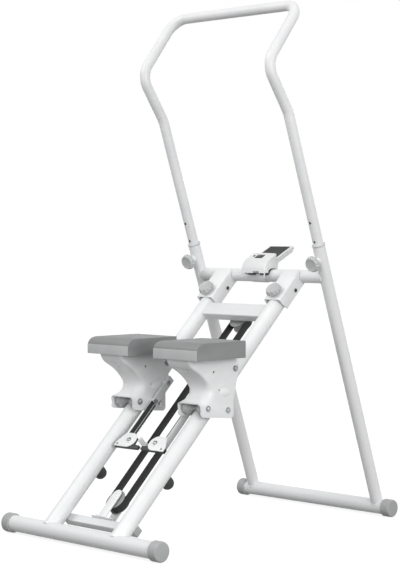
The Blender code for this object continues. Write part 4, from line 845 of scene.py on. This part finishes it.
def ears():
    """The V-shaped flanges, spot-welded a little off each side plate, and the pressed swelling below each."""
    item = ease(traced("ears_pressed", ear_outline(), 0.0514, 0.0542), 0.0007, 3, 50)
    pick("FACE", lambda p, n: n.z < -0.9 and p.z < 0.0515)
    bpy.ops.mesh.inset(thickness=0.0035, use_even_offset=True)
    draw(0, 0, -0.0037)
    face_out()
    finish_with(item, "TRIANGULATE")
    for forward, up, radius in SIDE_HOLES:
        cut(item, hole(radius, Matrix.Translation((forward, up, 0))))
    swelling = turned("swelling", [(0.017, 0.0472), (0.016, 0.0477), (0.0135, 0.0485), (0.0105, 0.0495),
                                   (0.007, 0.0503), (0.003, 0.0506)], 40)
    place(swelling, Matrix.Translation((0.004, 0.0255, 0)) @ Matrix.Diagonal((1.3, 0.75, 1, 1)))
    joined(item, swelling)
    other = copied(item, "ear", Matrix.Diagonal((1, 1, -1, 1)))
    face_out()
    return place(joined(item, other), SIDEWAYS)


def carriage():
    """The bracket with its flanges and bolt heads, and its three rollers on their axles."""
    pair(place(bracket_shell(), CARRIAGE_AT), RAIL_WHITE, "{}_carriage", "carriage_bracket_{}", angle=40)
    pair(place(ears(), CARRIAGE_AT), RAIL_WHITE, "{}_carriage", angle=40)
    big, small = hex_bolt(0.0068, 0.005), hex_bolt(0.0045, 0.0034)
    web_slope = math.radians(38)
    slant = Vector((0, -math.sin(web_slope), -math.cos(web_slope)))
    dome = turned("head", [(0.0048, -0.0006), (0.0048, 0.0006), (0.0042, 0.002), (0.0028, 0.0029),
                           (0.0012, 0.0032)], 32)
    heads = [place(dome, axes(Vector((0, -0.1085, 0.0906)), X, slant.cross(X), slant))]
    for face in (-1, 1):
        plate = X * face * (BRACKET_HALF + 0.0002)
        spots = [(big, ALONG * along + ABOVE * level * ROLLER_OUT) for _, along, level in STATIONS]
        for bolt, spot in spots + [(small, Vector((0, 0.0445, 0.094)))]:
            heads.append(copied(bolt, "head", axes(spot + plate, Z, Y * face, X * face)))
    for bolt in (big, small):
        bpy.data.objects.remove(bolt)
    heads[0].name = "carriage_bolts"
    pair(place(joined(*heads), CARRIAGE_AT), ZINC, "{}_carriage")
    profile = [(0.01, -0.0366), (0.0104, -0.038), (0.0214, -0.038), (0.022, -0.0373)]
    half_arc = math.acos(0.0102 / 0.0257)
    for k in range(-9, 10):
        turn = half_arc * k / 9
        profile.append((ROLLER_OUT - 0.0255 * math.cos(turn), 0.0255 * math.sin(turn)))
    profile += [(0.022, 0.0373), (0.0214, 0.038), (0.0104, 0.038), (0.01, 0.0366), (0.0043, 0.0366),
                (0.0043, -0.0366)]
    wheel = turned("roller", profile, 56, hollow=True)
    axle = cylinder("axle", 0.004, -0.048, 0.048)
    for label, along, level in STATIONS:
        at = cross(rail_point(RAIL_X, CARRIAGE_ALONG + along, level * ROLLER_OUT))
        pair(copied(wheel, f"roller_{label}_round", at), GREY_CAP, "{}_" + f"{label}_roller",
             f"roller_{label}_" + "{}")
        pair(copied(axle, f"axle_{label}", at), ZINC, "{}_carriage", f"roller_axle_{label}_" + "{}")
    for spare in (wheel, axle):
        bpy.data.objects.remove(spare)


def pedals():
    """Foot platform: its side view is drawn and extruded across, then grooved on top and hollowed below."""
    half, rear, front, low, top, lip = 0.09, -0.152, 0.051, 0.1264, 0.1758, 0.1549
    slope = parabola((rear + 0.036, top), (rear + 0.0055, top - 0.0015), (rear + 0.0013, lip + 0.0003), 12)
    outline = [(rear, low), (front, low), (front, top)] + slope + [(rear, lip)]
    item = traced("pedal_moulded", outline, -half, half)
    pick("EDGE", lambda p, n: abs(n.y) > 0.9 and abs(p.x - front) < 0.001)
    bpy.ops.mesh.bevel(offset=0.0045, segments=5)
    place(ease(item, 0.0009, 3, 24), SIDEWAYS)
    first, last, count, side = rear + 0.04, front - 0.009, 8, half - 0.009
    pitch = (last - first) / count
    for index in range(count):
        near = first + pitch * (index + 0.3)
        cut(item, rounded_block("groove", (-side, near, top - 0.003), (side, near + pitch * 0.4, top + 0.01),
                                0.0024, 4))
    for edge in (-1, 1):
        near, far = sorted((edge * 0.0545, edge * 0.085))
        for index in range(3):
            begin = rear + 0.026 + index * 0.059
            cut(item, block("pocket", (near, begin, low - 0.01), (far, begin + 0.054, low + 0.026)))
    pair(place(item, CARRIAGE_AT), PEDAL_LIT_GREY, "{}_carriage", "pedal_{}", angle=30)
    # Every face but the rear one gets the darker copy: painted shade, while the rear face stays lighter as
    # painted light.
    for side in ("left", "right"):
        recolour(bpy.data.objects[f"pedal_moulded_{side}"], PEDAL_SHADED_GREY, lambda p, n: n.y > -0.97)


def belt_arms():
    """Arms from the carriages to the belt: channels folded round black strips of painted shadow, on spacers.
    """
    across = axes(REAR, X, ABOVE, -ALONG)
    inner, outer, low, top, sheet = 0.077, 0.083, -0.0135, 0.0105, 0.0016
    outline = [(outer, low), (outer, top), (inner + 0.003, top), (inner + 0.003, top - sheet),
               (outer - sheet, top - sheet), (outer - sheet, low + sheet), (inner, low + sheet), (inner, low)]
    arm = place(ease(traced("belt_arm_folded", outline, -0.6, -0.33), 0.0006, 2, 50), across)
    for offset in (-0.025, 0.05):
        spacer = ease(cylinder("spacer", 0.009, 0.082, 0.0958), 0.0006, 2)
        joined(arm, place(spacer, cross(rail_point(0, CARRIAGE_ALONG + offset, -0.0015))))
    mount = block("mount", (inner, low + sheet, -0.5995), (outer - sheet, top - sheet, -0.498))
    rib = block("rib", (inner + 0.0002, low + 0.0085, -0.499), (outer - sheet, low + 0.0102, -0.3302))
    pair(joined(arm, place(joined(mount, rib), across)), RAIL_WHITE, "{}_carriage", "belt_arm_{}")
    # Black strips inside each channel: painted shadow for its hollow, which is only shaded.
    begin, end, near, far = -0.4975, -0.331, inner + 0.0008, outer - sheet - 0.0002
    upper = block("arm_strips", (near, low + 0.0105, begin), (far, top - sheet - 0.0002, end))
    lower = block("lower", (near, low + sheet + 0.0002, begin), (far, low + 0.0082, end))
    bead = block("bead", (inner + 0.0006, top - 0.004, begin), (inner + 0.0027, top + 0.001, end))
    strips = joined(ease(upper, 0.0005, 2), ease(lower, 0.0005, 2), ease(bead, 0.0006, 3))
    pair(place(strips, across), RUBBER_AND_SHADOW_BLACK, "{}_carriage")


def belt_clamps():
    """The pressed plate over each run of the belt, the jaw under it, and the jaw's folded hook."""
    rail = on_rail(0, 0)
    outline = [(0.105, 0.316), (0.105, 0.33), (0.086, 0.368)] + arc(CLAMP_LOBE, 0.026, 90, 270, 24)
    plate = ease(traced("clamp_pressed", outline, CLAMP_BASE, CLAMP_BASE + CLAMP_SHEET), 0.0009, 3, 50)
    ring = turned("ring", [(0.0112, CLAMP_BASE + 0.0025), (0.0105, CLAMP_BASE + 0.0045),
                           (0.0096, CLAMP_BASE + 0.005), (0.0082, CLAMP_BASE + 0.0048),
                           (0.0076, CLAMP_BASE + 0.0038)], 40)
    place(ring, Matrix.Translation((*CLAMP_LOBE, 0)))
    pair(place(joined(plate, ring), rail), RAIL_WHITE, "{}_carriage", "clamp_plate_{}", angle=40)
    top = CLAMP_BASE - GAP
    bottom = top - 0.009
    inner, outer = 0.0286, 0.0322
    slab = [(0.0767, 0.3297), (0.0767, 0.3654), (0.036, 0.357), (outer, 0.331), (0.006, 0.329),
            (0.006, 0.317), (0.056, 0.316), (0.105, 0.316), (0.105, 0.3297)]
    jaw = ease(traced("jaw_moulded", slab, bottom, top), 0.001, 3, 40)
    pair(place(jaw, rail), BLACK_NYLON_AND_SHADOW, "{}_carriage", "belt_jaw_{}", angle=40)
    hook = [(outer + 0.0035, bottom - 0.0003), (outer + 0.0035, -0.051), (outer, -0.051), (outer, -0.0267),
            (inner, -0.0267), (inner, -0.051), (inner - 0.0035, -0.051), (inner - 0.0035, -0.0225),
            (outer, -0.0225), (outer, bottom - 0.0003)]
    grip = ease(traced("hook_folded", hook, -0.008, 0.008), 0.0006, 3, 40)
    place(grip, rail @ axes(Vector((0, 0.359, 0)), X, Z, -Y))
    pair(grip, RAIL_WHITE, "{}_carriage", angle=40)


# Counter

def window_outline(margin):
    """The counter window's rounded outline, about the panel's middle, drawn larger by a margin."""
    left, right, depth = -0.017 - margin, 0.014 + margin, 0.0103 + margin
    corners = [(left, -depth), (right, -depth), (right, depth), (left, depth)]
    return rounded(corners, [0.0015 + margin * 0.5] * 4)


def counter():
    """Counter on the crossbar: a crowned hood with its panel, and the long tray with its ribbed pad."""
    where = cross(leg_point(0, CROSSBAR_UP))
    tilt, tray_tilt = math.radians(27.5), math.radians(26.4)
    slope, rise = Vector((math.cos(tilt), math.sin(tilt))), Vector((-math.sin(tilt), math.cos(tilt)))
    tray_slope = Vector((math.cos(tray_tilt), math.sin(tray_tilt)))
    tray_rise = Vector((-math.sin(tray_tilt), math.cos(tray_tilt)))
    face = Vector((-0.013, 0.0535))
    tray = Vector((0.0184, 0.0539))
    tip = tray + tray_slope * 0.0835
    hood = parabola((-0.0405, 0.01), (-0.036, 0.043), tuple(face), 12)
    hood.append(tuple(face + slope * 0.0325))
    nose = [tuple(tip), tuple(tip + tray_slope * 0.003 - tray_rise * 0.003),
            tuple(tip + tray_slope * 0.0035 - tray_rise * 0.008),
            tuple(tip - tray_slope * 0.011 - tray_rise * 0.0163)]
    rest = [tuple(tray)] + nose + [tuple(tray - tray_rise * 0.0163), (0.0195, 0.008), (-0.0405, 0.008)]
    item = traced("counter_shell", hood + rest, -0.05, -0.044)
    steps = 11
    for k in range(steps + 1):
        pick("FACE", lambda p, n: n.z > 0.9)
        draw(0, 0, 0.088 / steps if k < steps else 0.006)
    # The hood's middle stands above its sides.
    crowned = [Vector(point) for point in hood[2:]]
    for k in range(steps + 1):
        x = -0.044 + 0.088 * k / steps
        pick("VERT", lambda p, n: abs(p.z - x) < 1e-5 and any((p.xy - c).length < 1e-5 for c in crowned))
        lift = rise * 0.0016 * (1 - (x / 0.05) ** 2)
        bpy.ops.transform.translate(value=(lift.x, lift.y, 0))
    # Both ends have a rounded rim and a side wall set back inside it.
    pick("EDGE", lambda p, n: abs(n.z) < 0.1 and abs(p.z) > 0.0499)
    bpy.ops.mesh.bevel(offset=0.003, segments=4)
    for end in (-1, 1):
        pick("FACE", lambda p, n: n.z * end > 0.99 and p.z * end > 0.0499)
        bpy.ops.mesh.inset(thickness=0.001, use_even_offset=True)
        bpy.ops.mesh.inset(thickness=0.0006, use_even_offset=True)
        bpy.ops.transform.translate(value=(0, 0, -0.0036 * end))
    face_out()
    finish_with(item, "TRIANGULATE")
    place(item, where)
    cut(item, hole(CROSSBAR_R + 0.0026, where, 64))
    notch = block("notch", (-0.0015, -0.05, -0.01), (0.0268, -0.026, 0.0138))
    cut(item, place(notch, Matrix.Translation(leg_point(0, CROSSBAR_UP))))
    middle = face + slope * 0.01
    panel = where @ axes(Vector((*middle, 0)), Z, Vector((*slope, 0)), Vector((*rise, 0)))
    cut(item, place(traced("recess", window_outline(0.0018), 0.0002, 0.02), panel))
    pad_at = where @ axes(Vector((*tray, 0)), Z, Vector((*tray_slope, 0)), Vector((*tray_rise, 0)))
    cut(item, place(block("well", (-0.0413, 0.0037, -0.0015), (0.0413, 0.0803, 0.01)), pad_at))
    done(item, SHELL_WHITE, "front_frame", "display_housing", angle=34)

    window = traced("counter_window", window_outline(0.0008), 0.0002, 0.0014)
    done(place(ease(window, 0.0003, 2), panel), WINDOW, "front_frame", "display_screen")
    bezel = traced("counter_bezel", window_outline(0.0016), 0.0001, 0.0019)
    pick("FACE", lambda p, n: n.z > 0.9)
    bpy.ops.mesh.inset(thickness=0.0006)
    bpy.ops.transform.translate(value=(0, 0, -0.0015))
    done(place(bezel, panel), SHELL_WHITE, "front_frame")
    panel = panel @ Matrix.Translation((0, 0.0025, 0))
    crown = 0.0016 * (1 - 0.55**2)
    dome = turned("counter_button_dome", [(0.004, -0.001), (0.004, 0.0008), (0.0036, 0.0013),
                                          (0.0024, 0.0016), (0.0012, 0.0017)], 32)
    place(dome, panel @ Matrix.Translation((-0.0275, 0, crown)))
    done(dome, BLACK_NYLON_AND_SHADOW, "counter_button", "display_button")

    pad = ease(block("counter_pad", (-0.041, 0.004, -0.0012), (0.041, 0.08, 0.0006)), 0.0005, 2)
    rib = block("rib", (-0.0405, 0.0042, 0.0002), (0.0405, 0.0088, 0.0018))
    pick("EDGE", lambda p, n: abs(n.x) > 0.9 and p.z > 0.001)
    bpy.ops.mesh.bevel(offset=0.0011, segments=4)
    finish_with(rib, "ARRAY", count=10, use_relative_offset=False, use_constant_offset=True,
                constant_offset_displace=(0, 0.0076, 0))
    done(place(joined(pad, rib), pad_at), BLACK_NYLON_AND_SHADOW, "front_frame", "display_pad")
    strap = tube("counter_strap", 0.0218, 0.0014, -0.03, 0.03)
    done(place(ease(strap, 0.0004, 2, 50), where), SHELL_WHITE, "front_frame", "display_strap")
    # Black saddle a little wider than the hood: its ends are painted shadow under the hood's lower side
    # edges.
    saddle = tube("counter_saddle", 0.0225, 0.0021, -0.0525, 0.0525)
    cut(saddle, block("lower", (-0.03, -0.03, -0.06), (0.03, 0.006, 0.06)))
    place(saddle, where)
    for near, far in ((-0.0195, -0.003), (0.0275, 0.048)):
        tab = ease(block("tab", (near, -0.0375, 0.002), (far, -0.019, 0.01)), 0.0008, 2)
        joined(saddle, place(tab, Matrix.Translation(leg_point(0, CROSSBAR_UP))))
    done(saddle, BLACK_NYLON_AND_SHADOW, "front_frame")


# Belt drive

def belt_drive():
    """The belt, a ring drawn out to a loop, and its two pulleys."""
    start()
    bpy.ops.mesh.primitive_circle_add(vertices=96, radius=PULLEY_R - BELT_THICK / 2,
                                      location=(0, LOWER_PULLEY, 0), rotation=(0, 0, math.pi / 96))
    item = fresh("belt_loop")
    pick("VERT", lambda p, n: p.y > LOWER_PULLEY)
    bpy.ops.transform.translate(value=(0, UPPER_PULLEY - LOWER_PULLEY, 0))
    bpy.ops.mesh.select_all(action="SELECT")
    bpy.ops.transform.translate(value=(0, 0, -BELT_HALF))
    draw(0, 0, BELT_HALF * 2)
    face_out()
    finish_with(item, "SOLIDIFY", thickness=BELT_THICK, offset=1, use_even_offset=True)
    ease(item, 0.0005, 2, 50)
    done(place(item, on_rail(0, 0, BELT_LEVEL)), BELT_RUBBER, "rail_frame", "drive_belt")
    profile = [(0.0043, -0.014), (0.01, -0.014), (0.011, -0.0132), (0.0316, -0.0132), (0.0326, -0.0138),
               (0.0328, -0.013), (0.0322, -0.0124), (0.0286, -0.012)]
    profile += [(wide, -level) for wide, level in reversed(profile)]
    wheel = turned("pulley", profile, 64, hollow=True)
    for name, at in (("upper", UPPER_PULLEY), ("lower", LOWER_PULLEY)):
        pulley = copied(wheel, f"{name}_pulley_round", on_rail(0, at, BELT_LEVEL))
        done(pulley, GREY_CAP, f"{name}_pulley", f"{name}_pulley")
    bpy.data.objects.remove(wheel)


def forks():
    """Two straps round each pulley with a folded base, and the pulley's riveted pin."""
    sheet, half, clear = 0.003, 0.0165, 0.0015
    below = BELT_LEVEL - BELT_HALF - clear - sheet - 0.004
    sizes = (("upper", UPPER_PULLEY, UPPER_PULLEY - half, UPPER_PULLEY + PULLEY_R + 0.0024 + 0.008,
              0.001 - 0.014 - GAP, half),
             ("lower", LOWER_PULLEY, 0.186, CROSSMEMBER_ALONG + CROSSMEMBER_HALF + GAP,
              BELT_LEVEL + BELT_HALF + clear + 0.007, 0.045))
    for name, along, tip, base_at, above, base_half in sizes:
        way = 1 if tip > base_at else -1
        outline = [(-half * way, base_at), (half * way, base_at)]
        outline += arc((0, tip - way * half), half, 0 if way > 0 else 180, 180 if way > 0 else 360, 16)
        item = ease(traced(f"{name}_fork_folded", outline, above - sheet, above), 0.0007, 2, 50)
        lower = ease(traced("strap", outline, below, below + sheet), 0.0007, 2, 50)
        near, far = sorted((base_at, base_at + way * sheet))
        back = ease(block("back", (-base_half, near, below), (base_half, far, above)), 0.0009, 3, 50)
        pin = turned("pin", [(0.0058, below - 0.004), (0.0075, below - 0.003), (0.0075, below + 0.0005),
                             (0.004, below + 0.0006), (0.004, above + 0.0002)], 32)
        place(pin, Matrix.Translation((0, along, 0)))
        place(joined(item, lower, back, pin), on_rail(0, 0))
        done(item, RAIL_WHITE, "rail_frame", f"{name}_pulley_fork")


def fold_rests():
    """Rubber domes under the rails, cut round to them."""
    profile = [(0.0186, 0.012), (0.019, 0.0125), (0.0192, 0.034), (0.0188, 0.0385), (0.0172, 0.0435),
               (0.0138, 0.048), (0.009, 0.0508), (0.004, 0.0519)]
    item = turned("fold_rest_dome", profile, 48)
    place(item, axes(rail_point(RAIL_X, REST_ALONG), X, -ALONG, -ABOVE))
    cut(item, hole(RAIL_R + GAP, round_rail(RAIL_X, REST_ALONG), 96, -0.05, 0.05))
    pair(item, RUBBER_AND_SHADOW_BLACK, "rail_frame", "fold_rest_{}")


def small_hardware():
    """Bolts of the belt arms and the lower fork, and the clamps' screws."""
    bolt = hex_bolt(0.0056, 0.0045)
    fixed = [copied(bolt, "fork_bolts", round_rail(x, 0.0886, -0.029)) for x in (-0.032, 0.032)]
    done(joined(*fixed), ZINC, "rail_frame")
    group = [copied(bolt, "clamp_screws", axes(rail_point(0.077, at, -0.0015), ABOVE, -ALONG, -X))
             for at in (0.505, 0.58)]
    clamp_top = CLAMP_BASE + CLAMP_SHEET
    group.append(place(pan_screw(0.0066, 0.0058), on_rail(*CLAMP_LOBE, clamp_top)))
    group.append(place(pan_screw(0.0036, 0.0026), on_rail(0.094, 0.3235, clamp_top)))
    bpy.data.objects.remove(bolt)
    pair(joined(*group), ZINC, "{}_carriage")


# Stage, light and camera

def area(name, place_at, aim, size, power):
    """Square lamp that faces a point."""
    turn = (Vector(aim) - Vector(place_at)).to_track_quat("-Z", "Y").to_euler()
    bpy.ops.object.light_add(type="AREA", location=place_at, rotation=turn)
    lamp = bpy.context.object
    lamp.name = name
    lamp.data.size = size
    lamp.data.energy = power


def white_rays(owner):
    """One for the rays that see the white background: from the camera, and by gloss or through glass."""
    rays = add(owner, "LightPath", {}, {}).outputs
    seen = rays["Is Camera Ray"]
    for kind in ("Is Glossy Ray", "Is Transmission Ray"):
        seen = add(owner, "Math", {"operation": "ADD", "use_clamp": True}, {0: seen, 1: rays[kind]})
    return seen


def paper_floor():
    """Seamless white paper: it takes the object's shadow and bounces light, and the eye sees it as white."""
    start()
    bpy.ops.mesh.primitive_plane_add(size=40, location=(0, 0, -0.0006))
    floor = bpy.context.object
    floor.name = floor.data.name = "floor"
    material, shader, coords = blank("studio_paper", 1.45)
    fibre = add(material, "TexNoise", {"Scale": per_mm(40), "Detail": 2.0}, {"Vector": coords})
    rough = add(material, "MapRange", {"To Min": 0.85, "To Max": 0.95}, {"Value": fibre})
    link(material, two_tone(material, coords, 600, "3E3E3E", "424242"), shader.inputs["Base Color"])
    link(material, rough, shader.inputs["Roughness"])
    dull = add(material, "BsdfDiffuse", {"Color": (0.26, 0.26, 0.26, 1)}, {})
    glow = add(material, "Emission", {"Color": (1, 1, 1, 1), "Strength": 0.84}, {})
    paper = add(material, "AddShader", {}, {0: dull, 1: glow})
    mixed = add(material, "MixShader", {}, {0: white_rays(material), 1: shader, 2: paper})
    link(material, mixed, material.node_tree.nodes["Material Output"].inputs["Surface"])
    floor.data.materials.append(material)


def studio():
    """White surroundings for the eye and for reflections, and a plain even light for the object."""
    world = bpy.data.worlds.new("studio")
    world.use_nodes = True
    backdrop = world.node_tree.nodes["Background"]
    level = add(world, "MapRange", {"To Min": 0.68, "To Max": 1.0}, {"Value": white_rays(world)})
    backdrop.inputs["Color"].default_value = (1, 1, 1, 1)
    link(world, level, backdrop.inputs["Strength"])
    bpy.context.scene.world = world
    start()
    area("key", (-2.0, -3.0, 4.0), (0, 0, 0.75), 2.2, 70)
    area("fill", (4.4, -1.3, 1.3), (0, 0, 0.7), 2.0, 84)
    area("front", (3.0, -3.8, 1.4), (0, 0, 0.7), 2.0, 30)
    bpy.context.scene.view_settings.view_transform = "Standard"


def camera():
    """Camera fitted to the photograph."""
    azimuth, elevation = math.radians(45.0065), math.radians(1.7746)
    right = Vector((math.cos(azimuth), math.sin(azimuth), 0))
    back = Vector((math.sin(azimuth) * math.cos(elevation), -math.cos(azimuth) * math.cos(elevation),
                   math.sin(elevation)))
    view = axes((3.532, -3.556, 0.893), right, back.cross(right), back)
    bpy.ops.object.camera_add(location=view.translation, rotation=view.to_euler())
    made = bpy.context.object
    made.data.lens = 105.64
    made.data.sensor_width = 36.0
    bpy.context.scene.camera = made


base("rear", REAR_R, REAR_CAP_R, REAR_HALF, REAR, RAIL_WHITE, "rail_frame")
base("front", FRONT_R, FRONT_CAP_R, FRONT_HALF, FRONT, LEG_WHITE, "front_frame")
rails()
legs()
handlebar()
channels()
knob("fold_knob_fluted", on_rail(RAIL_X, LOCK_ALONG), 0.0253, 0.0333, "{}_fold_knob", "fold_knob_{}")
knob("height_knob_fluted", behind_leg(LEG_X, PIN_ALONG), 0.0163, 0.0343, "{}_height_knob", "height_knob_{}")
crossbeams()
carriage()
pedals()
belt_arms()
belt_clamps()
counter()
belt_drive()
forks()
fold_rests()
small_hardware()
paper_floor()
studio()
camera()
